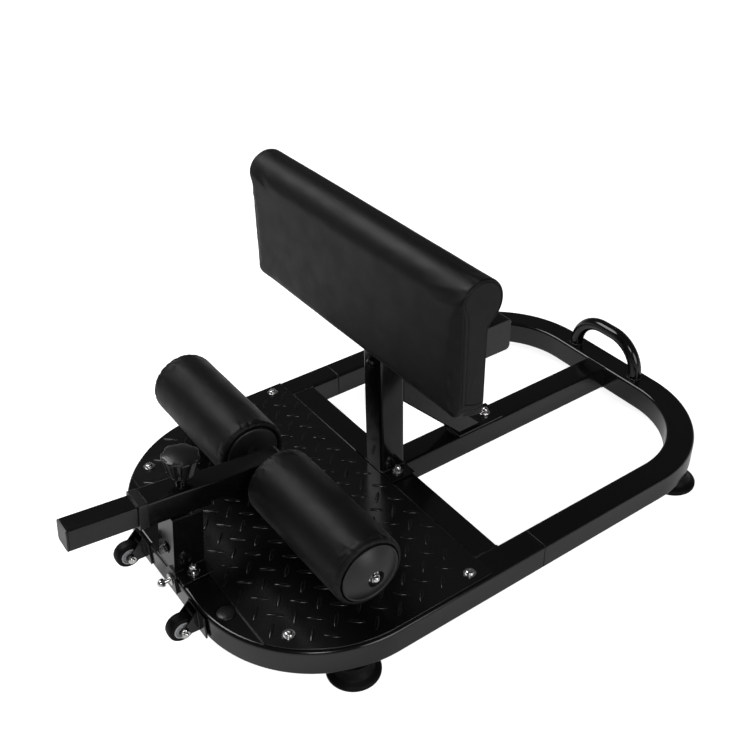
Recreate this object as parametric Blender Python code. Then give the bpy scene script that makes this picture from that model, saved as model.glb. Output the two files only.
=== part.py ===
"""Sissy squat machine: a ring-shaped base with a tread plate, sliding foot rollers and a shin pad.

Metres, +Z up. Lengths along Y are measured from the front face of the base ring and grow to the
rear. The right side is the +X side. Everything hangs from an empty that centres the machine.
"""
import math

import bmesh
import bpy
from mathutils import Matrix, Vector

GAP = 0.0003

# base ring and its square tube
RING_LENGTH = 1.011
RING_WIDTH = 0.650
FRONT_CORNER_RADIUS = 0.222
REAR_CORNER_RADIUS = 0.2135
TUBE = 0.050
TUBE_WALL = 0.002
TUBE_ROUND = 0.006
JOINT_Y = 0.514
SPIGOT_LENGTH = 0.120
CROSS_Y = 0.405
ARC_STEPS = 9

# rubber feet
FOOT_HEIGHT = 0.028
FOOT_RADIUS = 0.043
FOOT_FRONT_Y = 0.160
FOOT_REAR_Y = 0.878

# carry handle
HANDLE_SPAN = 0.160
HANDLE_RISE = 0.071
HANDLE_TUBE = 0.022
HANDLE_BEND = 0.058
HANDLE_WALL = 0.002

# tread plate and its screws
PLATE_THICK = 0.003
PLATE_INSET = 0.005
PLATE_FRONT_Y = 0.057
PLATE_REAR_INSET = 0.004
PLATE_SCREW_REAR_Y = 0.3757
PLATE_SCREW_ANGLE = 44.0
PLATE_SCREW_INSET = 0.0035
PLUG_X = 0.144
PLUG_RADIUS = 0.0145

# transport wheels
WHEEL_X = 0.097
WHEEL_REACH = 0.028
WHEEL_Z = 0.045
WHEEL_RADIUS = 0.0225
WHEEL_WIDTH = 0.022
HUB_RADIUS = 0.0145
FORK_SIDE = 0.0015
FORK_SHEET = 0.003
FORK_TIP = 0.0085
FORK_FLANGE = 0.020
FORK_BASE_HEIGHT = 0.044

# fasteners
SCREW_RADIUS = 0.004
HOLE_PLAY = 0.0003
HEX_RADIUS = 0.0075
HEX_HEIGHT = 0.0055
WASHER_RADIUS = 0.010
WASHER_THICK = 0.0016
SCREW_REACH = 0.012
BOLT_THREAD = 0.004

# inclined slide of the foot rollers
SLIDE_Z = 0.2108
SLIDE_PITCH = 6.0
SLEEVE = 0.045
SLEEVE_WALL = 0.003
SLEEVE_FRONT = -0.0192
SLEEVE_REAR = 0.0844
COLLAR_LENGTH = 0.0145
COLLAR_RIM = 0.001
ROLLER_TUBE = 0.038
ROLLER_TUBE_FRONT = -0.1401
ROLLER_TUBE_REAR = 0.2165
CAP_THICK = 0.003
CAP_PLUG = 0.015

# clamp screw and knob
CLAMP_U = 0.046
BOSS_RADIUS = 0.009
BOSS_HEIGHT = 0.006
CLAMP_STEM = 0.021
KNOB_RADIUS = 0.030
KNOB_HEIGHT = 0.030
KNOB_LOBES = 6
KNOB_FLUTE = 0.0035

# saddle bracket that carries the sleeve
SADDLE_WIDTH = 0.054
SADDLE_FRONT_Y = 0.002
SADDLE_DEPTH = 0.052
SADDLE_SHEET = 0.004
SADDLE_FOOT_X = 0.058
LUG_INNER_X = 0.006
LUG_OUTER_X = 0.038
LUG_DROP = 0.029
SADDLE_BOLT_X = 0.042
SADDLE_BOLT_Y = 0.028
LUG_BOLT_X = 0.022
LUG_BOLT_DROP = 0.008
LUG_BOLT_THREAD = 0.009

# foot rollers
SHAFT_RADIUS = 0.0065
SHAFT_U = 0.1994
SHAFT_DROP = 0.010
ROLLER_INNER_X = 0.032
ROLLER_OUTER_X = 0.306
ROLLER_RADIUS = 0.059
ROLLER_CROWN = 0.0008
ROLLER_FILLET = 0.012
ROLLER_CORE = 0.0125
CAP_RADIUS = 0.046
OUTER_POCKET = 0.020
INNER_POCKET = 0.008
CAP_WEB = 0.005
BEARING_PLAY = 0.0003
ROLLER_SIDES = 24

# post, brace and their foot plates
FOOT_PLATE_THICK = 0.005
POST_PLATE_WIDTH = 0.112
POST_BOLT_X = 0.037
BRACE_WIDTH = 0.040
BRACE_DEPTH = 0.038
BRACE_RISE = 0.1355
BRACE_PLATE_REAR = 0.045
BRACE_BOLT_BACK = 0.022

# shin pad and the tube behind it
PAD_WIDTH = 0.556
PAD_BOTTOM = 0.366
PAD_TOP = 0.589
PAD_THICK = 0.050
PAD_ROLL_RADIUS = 0.038
PAD_EDGE = 0.006
PAD_CORNER = 0.026
PAD_FRONT_CORNER = 0.016
PAD_BACK_CORNER = 0.004
PAD_CROWN = 0.004
BOARD_THICK = 0.012
BOARD_MARGIN = 0.014
BOARD_HEIGHT = 0.120
STRIP_THICK = 0.005
STRIP_WIDTH = 0.300
STRIP_HEIGHT = 0.040
PAD_TUBE_BOTTOM = 0.450
PAD_TUBE_INSET = 0.013
PAD_BOLT_X = 0.120

# placed from the sizes above
RING_TOP = FOOT_HEIGHT + TUBE
RAIL_X = (RING_WIDTH - TUBE) / 2
INNER = TUBE / 2 - TUBE_WALL
FRONT_REACH = (
    (-ROLLER_TUBE_FRONT + CAP_THICK + GAP) * math.cos(math.radians(SLIDE_PITCH))
    + ROLLER_TUBE / 2 * math.sin(math.radians(SLIDE_PITCH))
)
CENTRE_Y = (RING_LENGTH - FRONT_REACH) / 2
POST_Y = CROSS_Y + TUBE / 2
PAD_BACK_Y = CROSS_Y - GAP
PAD_TUBE_Y = PAD_BACK_Y + GAP + STRIP_THICK + TUBE / 2
PAD_TUBE_Z = PAD_TUBE_BOTTOM + TUBE / 2
SHANK_HOLE = SCREW_RADIUS + HOLE_PLAY
SIDES = (("right", 1), ("left", -1))


def clear_scene():
    for item in list(bpy.data.objects):
        bpy.data.objects.remove(item)


def material(name, color, roughness, metallic=0.0):
    item = bpy.data.materials.new(name)
    item.use_nodes = True
    shader = item.node_tree.nodes["Principled BSDF"]
    shader.inputs["Base Color"].default_value = (*color, 1.0)
    shader.inputs["Roughness"].default_value = roughness
    shader.inputs["Metallic"].default_value = metallic
    item.diffuse_color = (*color, 1.0)
    return item


PALETTE = {
    "paint": ((0.012, 0.012, 0.013), 0.22, 0.0),
    "plastic": ((0.015, 0.015, 0.016), 0.45, 0.0),
    "rubber": ((0.018, 0.018, 0.018), 0.75, 0.0),
    "chrome": ((0.80, 0.81, 0.83), 0.12, 1.0),
    "vinyl": ((0.016, 0.016, 0.018), 0.38, 0.0),
    "nylon": ((0.55, 0.56, 0.58), 0.40, 0.0),
    "board": ((0.35, 0.24, 0.14), 0.70, 0.0),
}


def add_empty(name, parent=None, location=(0, 0, 0), pitch=0.0):
    item = bpy.data.objects.new(name, None)
    item.empty_display_size = 0.03
    item.location = location
    item.rotation_euler = (math.radians(pitch), 0, 0)
    item.parent = parent
    bpy.context.scene.collection.objects.link(item)
    return item


def add_object(name, mesh, slot, parent, location=(0, 0, 0)):
    item = bpy.data.objects.new(name, mesh)
    mesh.name = name
    color, roughness, metallic = PALETTE[slot]
    mesh.materials.clear()
    mesh.materials.append(material(name, color, roughness, metallic))
    item.location = location
    item.parent = parent
    bpy.context.scene.collection.objects.link(item)
    return item


def finish(bm):
    bmesh.ops.remove_doubles(bm, verts=bm.verts, dist=1e-6)
    bmesh.ops.recalc_face_normals(bm, faces=bm.faces)
    mesh = bpy.data.meshes.new("part")
    bm.to_mesh(mesh)
    bm.free()
    return mesh


def rounded_rectangle(width, height, radius, steps=2):
    """Points of a rectangle with round corners, centred on the origin."""
    points = []
    corners = (((1, 1), 0), ((-1, 1), 90), ((-1, -1), 180), ((1, -1), 270))
    for (side, up), start in corners:
        centre = (side * (width / 2 - radius), up * (height / 2 - radius))
        for k in range(steps + 1):
            angle = math.radians(start + 90 * k / steps)
            points.append((centre[0] + radius * math.cos(angle), centre[1] + radius * math.sin(angle)))
    return points


def loft(rings, close_ends=True):
    """Joins rings of points, all with the same count, into a skin."""
    bm = bmesh.new()
    rows = [[bm.verts.new(point) for point in ring] for ring in rings]
    count = len(rows[0])
    for lower, upper in zip(rows, rows[1:]):
        for k in range(count):
            bm.faces.new((lower[k], lower[(k + 1) % count], upper[(k + 1) % count], upper[k]))
    if close_ends:
        bm.faces.new(rows[0])
        bm.faces.new(list(reversed(rows[-1])))
    return bm


def sweep_shell(stations, outer, inner):
    """Carries a hollow profile along stations of (place, across, up)."""
    bm = bmesh.new()
    rows = []
    for place, across, up in stations:
        loops = []
        for profile in (outer, inner):
            loops.append([bm.verts.new(place + across * x + up * z) for x, z in profile])
        rows.append(loops)
    count = len(outer)
    for first, second in zip(rows, rows[1:]):
        for shell in (0, 1):
            for k in range(count):
                n = (k + 1) % count
                bm.faces.new((first[shell][k], first[shell][n], second[shell][n], second[shell][k]))
    for loops in (rows[0], rows[-1]):
        for k in range(count):
            n = (k + 1) % count
            bm.faces.new((loops[0][k], loops[0][n], loops[1][n], loops[1][k]))
    return finish(bm)


def square_tube(width, height, wall, radius, start, end, axis):
    """A straight hollow tube along the axis, from start to end, centred on that axis."""
    outer = rounded_rectangle(width, height, radius)
    inner = rounded_rectangle(width - 2 * wall, height - 2 * wall, radius - wall / 2)
    frames = {
        "X": (Vector((0, 1, 0)), Vector((0, 0, 1))),
        "Y": (Vector((1, 0, 0)), Vector((0, 0, 1))),
        "Z": (Vector((1, 0, 0)), Vector((0, 1, 0))),
    }
    along = {"X": Vector((1, 0, 0)), "Y": Vector((0, 1, 0)), "Z": Vector((0, 0, 1))}[axis]
    across, up = frames[axis]
    return sweep_shell([(along * start, across, up), (along * end, across, up)], outer, inner)


def box(low, high):
    bm = bmesh.new()
    size = Vector(high) - Vector(low)
    centre = (Vector(high) + Vector(low)) / 2
    bmesh.ops.create_cube(bm, size=1.0, matrix=Matrix.Translation(centre) @ Matrix.Diagonal((*size, 1.0)))
    return finish(bm)


def prism(outline, axis, low, high):
    """Extrudes an outline along X or Z; on X its points are (y, z), on Z they are (x, y)."""
    place = (lambda a, b, c: (c, a, b)) if axis == "X" else (lambda a, b, c: (a, b, c))
    return finish(loft([[place(a, b, low) for a, b in outline], [place(a, b, high) for a, b in outline]]))


def revolve(profile, axis, steps=16, closed=False):
    """Turns a profile of (radius, along) points about the axis; a closed profile leaves a bore."""
    turn = {"X": Vector((1, 0, 0)), "Y": Vector((0, 1, 0)), "Z": Vector((0, 0, 1))}[axis]
    side = Vector((0, 1, 0)) if axis == "X" else Vector((1, 0, 0))
    bm = bmesh.new()
    verts = [bm.verts.new(side * radius + turn * along) for radius, along in profile]
    pairs = list(zip(verts, verts[1:]))
    if closed:
        pairs.append((verts[-1], verts[0]))
    edges = [bm.edges.new(pair) for pair in pairs]
    bmesh.ops.spin(bm, geom=verts + edges, cent=(0, 0, 0), axis=turn, angle=math.tau, steps=steps)
    bmesh.ops.remove_doubles(bm, verts=bm.verts, dist=1e-6)
    bmesh.ops.dissolve_degenerate(bm, edges=bm.edges, dist=1e-7)
    return finish(bm)


def rod(radius, low, high, axis, steps=16):
    return revolve([(0, low), (radius, low), (radius, high), (0, high)], axis, steps)


def moved(mesh, offset):
    mesh.transform(Matrix.Translation(offset))
    return mesh


def turned(mesh, angle, axis):
    mesh.transform(Matrix.Rotation(math.radians(angle), 4, axis))
    return mesh


def combine(mesh, others, operation):
    """Applies an exact Boolean of the mesh with each of the others."""
    target = bpy.data.objects.new("target", mesh)
    bpy.context.scene.collection.objects.link(target)
    helpers = []
    for other in others:
        helper = bpy.data.objects.new("helper", other)
        bpy.context.scene.collection.objects.link(helper)
        helper.hide_render = True
        helper.display_type = "WIRE"
        modifier = target.modifiers.new("combine", "BOOLEAN")
        modifier.operation = operation
        modifier.solver = "EXACT"
        modifier.object = helper
        helpers.append(helper)
    evaluated = target.evaluated_get(bpy.context.evaluated_depsgraph_get())
    result = bpy.data.meshes.new_from_object(evaluated)
    for item in [target, *helpers]:
        bpy.data.objects.remove(item)
    bm = bmesh.new()
    bm.from_mesh(result)
    bmesh.ops.dissolve_limit(bm, angle_limit=0.001, verts=bm.verts, edges=bm.edges)
    return finish(bm)


def cut(mesh, cutters):
    return combine(mesh, cutters, "DIFFERENCE")


def join(mesh, others):
    return combine(mesh, others, "UNION")


def beveled(mesh, width, segments=1):
    """Breaks the corners of a convex mesh."""
    bm = bmesh.new()
    bm.from_mesh(mesh)
    sharp = [edge for edge in bm.edges if edge.calc_face_angle(0.0) > math.radians(40)]
    bmesh.ops.bevel(bm, geom=sharp, offset=width, segments=segments, affect="EDGES", clamp_overlap=True)
    return finish(bm)


def hexagon(radius, low, high, axis):
    return rod(radius, low, high, axis, steps=6)


def corner_radius(front):
    return FRONT_CORNER_RADIUS if front else REAR_CORNER_RADIUS


def ring_corner(side, front):
    """The centre of a round corner of the ring."""
    radius = corner_radius(front)
    y = radius if front else RING_LENGTH - radius
    return Vector((side * (RING_WIDTH / 2 - radius), y, 0))


def ring_stations(front):
    """Stations along the middle of the tube for half the ring, from the left joint to the right one."""
    height = Vector((0, 0, FOOT_HEIGHT + TUBE / 2))
    up = Vector((0, 0, 1))
    seam = JOINT_Y - GAP / 2 if front else JOINT_Y + GAP / 2
    turn = -1 if front else 1
    reach = corner_radius(front) - TUBE / 2
    stations = [(Vector((-RAIL_X, seam, 0)) + height, Vector((-1, 0, 0)), up)]
    for side in (-1, 1):
        centre = ring_corner(side, front)
        for k in range(ARC_STEPS + 1):
            angle = math.radians(90 * k / ARC_STEPS)
            if side < 0:
                outward = Vector((-math.cos(angle), turn * math.sin(angle), 0))
            else:
                outward = Vector((math.sin(angle), turn * math.cos(angle), 0))
            stations.append((centre + outward * reach + height, outward, up))
    stations.append((Vector((RAIL_X, seam, 0)) + height, Vector((1, 0, 0)), up))
    return stations


def screw_places():
    """The four screws of the tread plate, on the middle of the tube."""
    places = []
    for side_name, side in SIDES:
        centre = ring_corner(side, True)
        angle = math.radians(PLATE_SCREW_ANGLE)
        reach = FRONT_CORNER_RADIUS - TUBE / 2 - PLATE_SCREW_INSET
        outward = Vector((side * math.sin(angle), -math.cos(angle), 0))
        places.append((f"front_{side_name}", centre + outward * reach))
        places.append((f"rear_{side_name}", Vector((side * RAIL_X, PLATE_SCREW_REAR_Y, 0))))
    return places


def plug_places():
    places = []
    for side_name, side in SIDES:
        centre = ring_corner(side, True)
        reach = FRONT_CORNER_RADIUS - TUBE / 2
        y = centre.y - math.sqrt(reach ** 2 - (PLUG_X - abs(centre.x)) ** 2)
        places.append((side_name, Vector((side * PLUG_X, y, 0))))
    return places


def holes(places, radius, low, high, axis="Z"):
    return [moved(rod(radius, low, high, axis), place) for place in places]


def build_ring(machine):
    outer = rounded_rectangle(TUBE, TUBE, TUBE_ROUND)
    inner = rounded_rectangle(2 * INNER, 2 * INNER, TUBE_ROUND - TUBE_WALL / 2)
    front = sweep_shell(ring_stations(True), outer, inner)
    wall_low = RING_TOP - 2 * TUBE_WALL
    wall_high = RING_TOP + TUBE_WALL
    cutters = holes([place for _, place in screw_places()], SHANK_HOLE, wall_low, wall_high)
    cutters += holes([place for _, place in plug_places()], PLUG_RADIUS / 2 + HOLE_PLAY, wall_low, wall_high)
    for _, side in SIDES:
        cutters += holes([(side * SADDLE_BOLT_X, SADDLE_BOLT_Y, 0)], SHANK_HOLE, wall_low, wall_high)
    lug = (LUG_BOLT_X, 0, RING_TOP - LUG_BOLT_DROP)
    cutters += holes([lug], SHANK_HOLE, -TUBE_WALL, 2 * TUBE_WALL, "Y")
    add_object("front_ring_tube", cut(front, cutters), "paint", machine)
    rear = sweep_shell(ring_stations(False), outer, inner)
    add_object("rear_ring_tube", rear, "paint", machine)
    for side_name, side in SIDES:
        width = 2 * (INNER - GAP)
        place = (side * RAIL_X, JOINT_Y, FOOT_HEIGHT + TUBE / 2)
        half = SPIGOT_LENGTH / 2
        spigot = square_tube(width, width, TUBE_WALL, TUBE_ROUND, -half, half, "Y")
        add_object(f"joint_spigot_{side_name}", spigot, "paint", machine, place)


def build_rails(machine):
    """The cross beam, the centre rail behind it and the rail under the tread plate."""
    reach = RAIL_X - TUBE / 2 - GAP
    beam = square_tube(TUBE, TUBE, TUBE_WALL, TUBE_ROUND, -reach, reach, "X")
    height = FOOT_HEIGHT + TUBE / 2
    cutters = []
    for _, side in SIDES:
        cutters.append(moved(rod(SHANK_HOLE, INNER - TUBE_WALL, TUBE, "Z"), (side * POST_BOLT_X, 0, 0)))
    add_object("cross_beam", cut(beam, cutters), "paint", machine, (0, POST_Y, height))
    start = CROSS_Y + TUBE + GAP
    rail = square_tube(TUBE, TUBE, TUBE_WALL, TUBE_ROUND, start, RING_LENGTH - TUBE - GAP, "Y")
    bolt = moved(rod(SHANK_HOLE, INNER - TUBE_WALL, TUBE, "Z"), (0, brace_bolt_y(), 0))
    add_object("centre_rail", cut(rail, [bolt]), "paint", machine, (0, 0, height))
    under = square_tube(TUBE, TUBE, TUBE_WALL, TUBE_ROUND, TUBE + GAP, CROSS_Y - GAP, "Y")
    add_object("platform_rail", under, "paint", machine, (0, 0, height))


def build_handle(machine):
    """The arched carry handle, a bent round tube standing on the rear of the ring."""
    radius = HANDLE_TUBE / 2
    top = RING_TOP + HANDLE_RISE
    half = HANDLE_SPAN / 2
    circle = [(math.cos(math.tau * k / 12), math.sin(math.tau * k / 12)) for k in range(12)]
    outer = [(radius * x, radius * z) for x, z in circle]
    inner = [((radius - HANDLE_WALL) * x, (radius - HANDLE_WALL) * z) for x, z in circle]
    rear = Vector((0, 1, 0))
    stations = [(Vector((-half, 0, RING_TOP + GAP)), Vector((-1, 0, 0)), rear)]
    for side in (-1, 1):
        centre = Vector((side * (half - HANDLE_BEND), 0, top - HANDLE_BEND))
        for k in range(7):
            angle = math.radians(15 * k if side < 0 else 90 - 15 * k)
            outward = Vector((side * math.cos(angle), 0, math.sin(angle)))
            stations.append((centre + outward * HANDLE_BEND, outward, rear))
    stations.append((Vector((half, 0, RING_TOP + GAP)), Vector((1, 0, 0)), rear))
    handle = sweep_shell(stations, outer, inner)
    add_object("carry_handle", handle, "paint", machine, (0, RING_LENGTH - TUBE / 2, 0))


def plate_outline():
    """The tread plate's edge: straight at the front and rear, following the ring between them."""
    rear = CROSS_Y - PLATE_REAR_INSET
    reach = FRONT_CORNER_RADIUS - PLATE_INSET
    centre = ring_corner(1, True)
    last = math.acos((centre.y - PLATE_FRONT_Y) / reach)
    half = [(centre.x + reach, rear)]
    for k in range(ARC_STEPS + 1):
        angle = math.pi / 2 + (last - math.pi / 2) * k / ARC_STEPS
        half.append((centre.x + reach * math.sin(angle), centre.y - reach * math.cos(angle)))
    return half + [(-x, y) for x, y in reversed(half)]


def build_platform(machine):
    low = RING_TOP + GAP
    high = low + PLATE_THICK
    plate = prism(plate_outline(), "Z", low, high)
    cutters = holes([place for _, place in screw_places()], SHANK_HOLE, low - GAP, high + GAP)
    add_object("tread_plate", cut(plate, cutters), "paint", machine)
    head = 0.0045
    for name, place in screw_places():
        profile = [
            (0, -SCREW_REACH), (SCREW_RADIUS, -SCREW_REACH), (SCREW_RADIUS, 0), (WASHER_RADIUS, 0),
            (WASHER_RADIUS, WASHER_THICK), (HEX_RADIUS, WASHER_THICK),
            (HEX_RADIUS * 0.85, WASHER_THICK + head * 0.7), (HEX_RADIUS * 0.45, WASHER_THICK + head),
            (HEX_RADIUS * 0.35, WASHER_THICK + head * 0.3), (0, WASHER_THICK + head * 0.3),
        ]
        screw = revolve(profile, "Z", 14)
        add_object(f"plate_screw_{name}", screw, "chrome", machine, place + Vector((0, 0, high + GAP)))


def build_plugs(machine):
    """Domed plugs that close the filling holes in the top of the front tube."""
    dome = 0.0035
    stem = PLUG_RADIUS / 2
    for name, place in plug_places():
        profile = [
            (0, -2 * TUBE_WALL), (stem, -2 * TUBE_WALL), (stem, 0), (PLUG_RADIUS, 0),
            (PLUG_RADIUS, dome * 0.3), (PLUG_RADIUS * 0.92, dome * 0.7),
            (PLUG_RADIUS * 0.6, dome * 0.95), (0, dome),
        ]
        plug = revolve(profile, "Z", 20)
        add_object(f"tube_plug_{name}", plug, "plastic", machine, place + Vector((0, 0, RING_TOP + GAP)))


def build_feet(machine):
    top = FOOT_HEIGHT - GAP
    rim = 0.006
    seat = TUBE / 2
    profile = [
        (0, 0.003), (FOOT_RADIUS * 0.5, 0.003), (FOOT_RADIUS * 0.55, 0), (FOOT_RADIUS, 0), (FOOT_RADIUS, rim),
        (FOOT_RADIUS * 0.93, rim * 1.5), (seat * 1.05, top * 0.9), (seat * 0.95, top), (0, top),
    ]
    for row, y in (("front", FOOT_FRONT_Y), ("rear", FOOT_REAR_Y)):
        reach = foot_x(y, row == "front")
        for side_name, side in SIDES:
            foot = revolve(profile, "Z", 20)
            add_object(f"foot_{row}_{side_name}", foot, "rubber", machine, (side * reach, y, 0))


def foot_x(y, front):
    """Feet sit under the middle of the tube, where it bends."""
    centre = ring_corner(1, front)
    reach = corner_radius(front) - TUBE / 2
    return centre.x + math.sqrt(reach ** 2 - (y - centre.y) ** 2)


def fork_ear():
    """One ear of a wheel fork in (y, z), tapering from the base plate to a round tip at the axle."""
    base_y = -GAP - FORK_SHEET / 2
    low = RING_TOP - 0.001 - FORK_BASE_HEIGHT
    points = [(base_y, RING_TOP - 0.002), (base_y, low + 0.002)]
    for k in range(7):
        angle = math.radians(-75 - 210 * k / 6)
        points.append((-WHEEL_REACH + FORK_TIP * math.cos(angle), WHEEL_Z + FORK_TIP * math.sin(angle)))
    return points


def build_fork(machine, side_name, side):
    x = side * WHEEL_X
    high = RING_TOP - 0.001
    low = high - FORK_BASE_HEIGHT
    inside = WHEEL_WIDTH / 2 + FORK_SIDE
    outside = inside + FORK_SHEET
    base = box((x - outside, -GAP - FORK_SHEET, low), (x + outside + FORK_FLANGE, -GAP, high))
    ears = [
        prism(fork_ear(), "X", x + inside, x + inside + FORK_SHEET),
        prism(fork_ear(), "X", x - inside - FORK_SHEET, x - inside),
    ]
    fork = join(base, ears)
    reach = inside + 2 * FORK_SHEET
    axle = moved(rod(SHANK_HOLE, x - reach, x + reach, "X"), (0, -WHEEL_REACH, WHEEL_Z))
    add_object(f"wheel_fork_{side_name}", cut(fork, [axle]), "paint", machine)


def build_wheel(machine, side_name, side):
    place = (side * WHEEL_X, -WHEEL_REACH, WHEEL_Z)
    half = WHEEL_WIDTH / 2
    shoulder = 0.004
    tread = [
        (HUB_RADIUS + GAP, -half), (WHEEL_RADIUS - shoulder, -half), (WHEEL_RADIUS, -half + shoulder),
        (WHEEL_RADIUS, half - shoulder), (WHEEL_RADIUS - shoulder, half), (HUB_RADIUS + GAP, half),
    ]
    add_object(f"wheel_tyre_{side_name}", revolve(tread, "X", 24, True), "rubber", machine, place)
    bore = SCREW_RADIUS + BEARING_PLAY
    boss = half + FORK_SIDE - 2 * GAP
    dish = 0.003
    hub = [
        (bore, -boss), (bore + 0.003, -boss), (bore + 0.003, -half + dish),
        (HUB_RADIUS - 0.002, -half + dish), (HUB_RADIUS - 0.001, -half), (HUB_RADIUS, -half),
        (HUB_RADIUS, half), (HUB_RADIUS - 0.001, half),
        (HUB_RADIUS - 0.002, half - dish), (bore + 0.003, half - dish), (bore + 0.003, boss), (bore, boss),
    ]
    add_object(f"wheel_hub_{side_name}", revolve(hub, "X", 16, True), "nylon", machine, place)
    ear = half + FORK_SIDE + FORK_SHEET + GAP
    thread = 0.003
    head = hexagon(HEX_RADIUS, -ear - HEX_HEIGHT, -ear, "X")
    nut = hexagon(HEX_RADIUS, ear, ear + HEX_HEIGHT, "X")
    shank = rod(SCREW_RADIUS, -ear - HEX_HEIGHT / 2, ear + HEX_HEIGHT + thread, "X", 12)
    add_object(f"wheel_axle_{side_name}", join(shank, [head, nut]), "chrome", machine, place)


def build_wheels(machine):
    for side_name, side in SIDES:
        build_fork(machine, side_name, side)
        build_wheel(machine, side_name, side)


def sleeve_underside(y):
    """Height of the sleeve's lower face above a place on the floor."""
    pitch = math.radians(SLIDE_PITCH)
    return SLIDE_Z - y * math.tan(pitch) - SLEEVE / 2 / math.cos(pitch)


def upright_ring(height_of):
    """The channel-shaped upright seen from above, each point moved back by the sleeve's lean."""
    lean = math.tan(math.radians(SLIDE_PITCH))
    half = SADDLE_WIDTH / 2
    inside = half - SADDLE_SHEET
    front = SADDLE_FRONT_Y
    rear = front + SADDLE_DEPTH
    web = front + SADDLE_SHEET
    outline = [(half, rear), (half, front), (-half, front), (-half, rear)]
    outline += [(-inside, rear), (-inside, web), (inside, web), (inside, rear)]
    ring = []
    for x, y in outline:
        height = height_of(y)
        ring.append((x, y + height * lean, RING_TOP + height))
    return ring


def build_saddle(machine):
    """Bent sheet that stands on the front tube, laps over its face and holds up the sleeve."""
    low = RING_TOP + GAP
    top = low + SADDLE_SHEET
    rear = SADDLE_FRONT_Y + SADDLE_DEPTH
    lug_face = -GAP - SADDLE_SHEET
    lean = math.tan(math.radians(SLIDE_PITCH))
    root = GAP + SADDLE_SHEET / 2
    rings = [
        upright_ring(lambda y: root),
        upright_ring(lambda y: (sleeve_underside(y) - GAP - RING_TOP) / (1 + lean ** 2)),
    ]
    drop = RING_TOP - LUG_DROP
    lug = [(rear, low), (rear, top), (lug_face, top), (lug_face, drop), (-GAP, drop), (-GAP, low)]
    foot = box((-SADDLE_FOOT_X, SADDLE_FRONT_Y, low), (SADDLE_FOOT_X, rear, top))
    pieces = [foot, prism(lug, "X", LUG_INNER_X, LUG_OUTER_X)]
    cutters = []
    for _, side in SIDES:
        cutters += holes([(side * SADDLE_BOLT_X, SADDLE_BOLT_Y, 0)], SHANK_HOLE, low - GAP, top + GAP)
    cutters += holes([(LUG_BOLT_X, 0, RING_TOP - LUG_BOLT_DROP)], SHANK_HOLE, lug_face - GAP, 0, "Y")
    bracket = cut(join(finish(loft(rings)), pieces), cutters)
    add_object("saddle_bracket", bracket, "paint", machine)


def bolt_ring(radius, height, hexagonal):
    """Twelve points of a circle, or of a hexagon with a point in the middle of each side."""
    ring = []
    for k in range(12):
        reach = radius * math.cos(math.radians(30)) if hexagonal and k % 2 else radius
        ring.append((reach * math.cos(math.radians(30 * k)), reach * math.sin(math.radians(30 * k)), height))
    return ring


def domed_bolt(reach, thread=0.0):
    """A bolt along Z seen from its domed nut: washer on z = 0, shank below it."""
    nut = WASHER_THICK + thread + GAP
    levels = (
        (SCREW_RADIUS, -reach, False), (SCREW_RADIUS, 0, False), (WASHER_RADIUS, 0, False),
        (WASHER_RADIUS, WASHER_THICK, False), (SCREW_RADIUS, WASHER_THICK, False), (SCREW_RADIUS, nut, False),
        (HEX_RADIUS, nut, True), (HEX_RADIUS, nut + HEX_HEIGHT, True),
        (HEX_RADIUS * 0.8, nut + HEX_HEIGHT, False),
        (HEX_RADIUS * 0.66, nut + 1.6 * HEX_HEIGHT, False), (HEX_RADIUS * 0.3, nut + 2.0 * HEX_HEIGHT, False),
    )
    return finish(loft([bolt_ring(*level) for level in levels]))


def build_saddle_bolts(machine):
    top = RING_TOP + 2 * GAP + SADDLE_SHEET
    for side_name, side in SIDES:
        place = (side * SADDLE_BOLT_X, SADDLE_BOLT_Y, top)
        add_object(f"saddle_bolt_{side_name}", domed_bolt(SCREW_REACH, BOLT_THREAD), "chrome", machine, place)
    bolt = turned(domed_bolt(SCREW_REACH, LUG_BOLT_THREAD), 90, "X")
    place = (LUG_BOLT_X, -2 * GAP - SADDLE_SHEET, RING_TOP - LUG_BOLT_DROP)
    add_object("lug_bolt", bolt, "chrome", machine, place)


def build_sleeve(slide):
    sleeve = square_tube(SLEEVE, SLEEVE, SLEEVE_WALL, 0.004, SLEEVE_FRONT, SLEEVE_REAR, "Y")
    top = SLEEVE / 2
    boss = moved(rod(BOSS_RADIUS, top - SLEEVE_WALL / 2, top + BOSS_HEIGHT, "Z", 20), (0, CLAMP_U, 0))
    bore = moved(rod(SHANK_HOLE, top - 2 * SLEEVE_WALL, top + 2 * BOSS_HEIGHT, "Z", 20), (0, CLAMP_U, 0))
    add_object("clamp_sleeve", cut(join(sleeve, [boss]), [bore]), "paint", slide)
    end = SLEEVE_FRONT - GAP
    width = SLEEVE + 2 * COLLAR_RIM
    wall = (width - ROLLER_TUBE) / 2 - GAP
    collar = square_tube(width, width, wall, 0.005, end - COLLAR_LENGTH, end, "Y")
    add_object("sleeve_collar", collar, "plastic", slide)


def knob_ring(radius, height, flute):
    """One level of the knob: a circle with hollows between its lobes."""
    count = KNOB_LOBES * 8
    ring = []
    for k in range(count):
        angle = math.tau * k / count
        hollow = max(0.0, math.cos(KNOB_LOBES * angle)) ** 0.8
        reach = radius - flute * hollow
        ring.append((reach * math.cos(angle), reach * math.sin(angle), height))
    return ring


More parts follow.
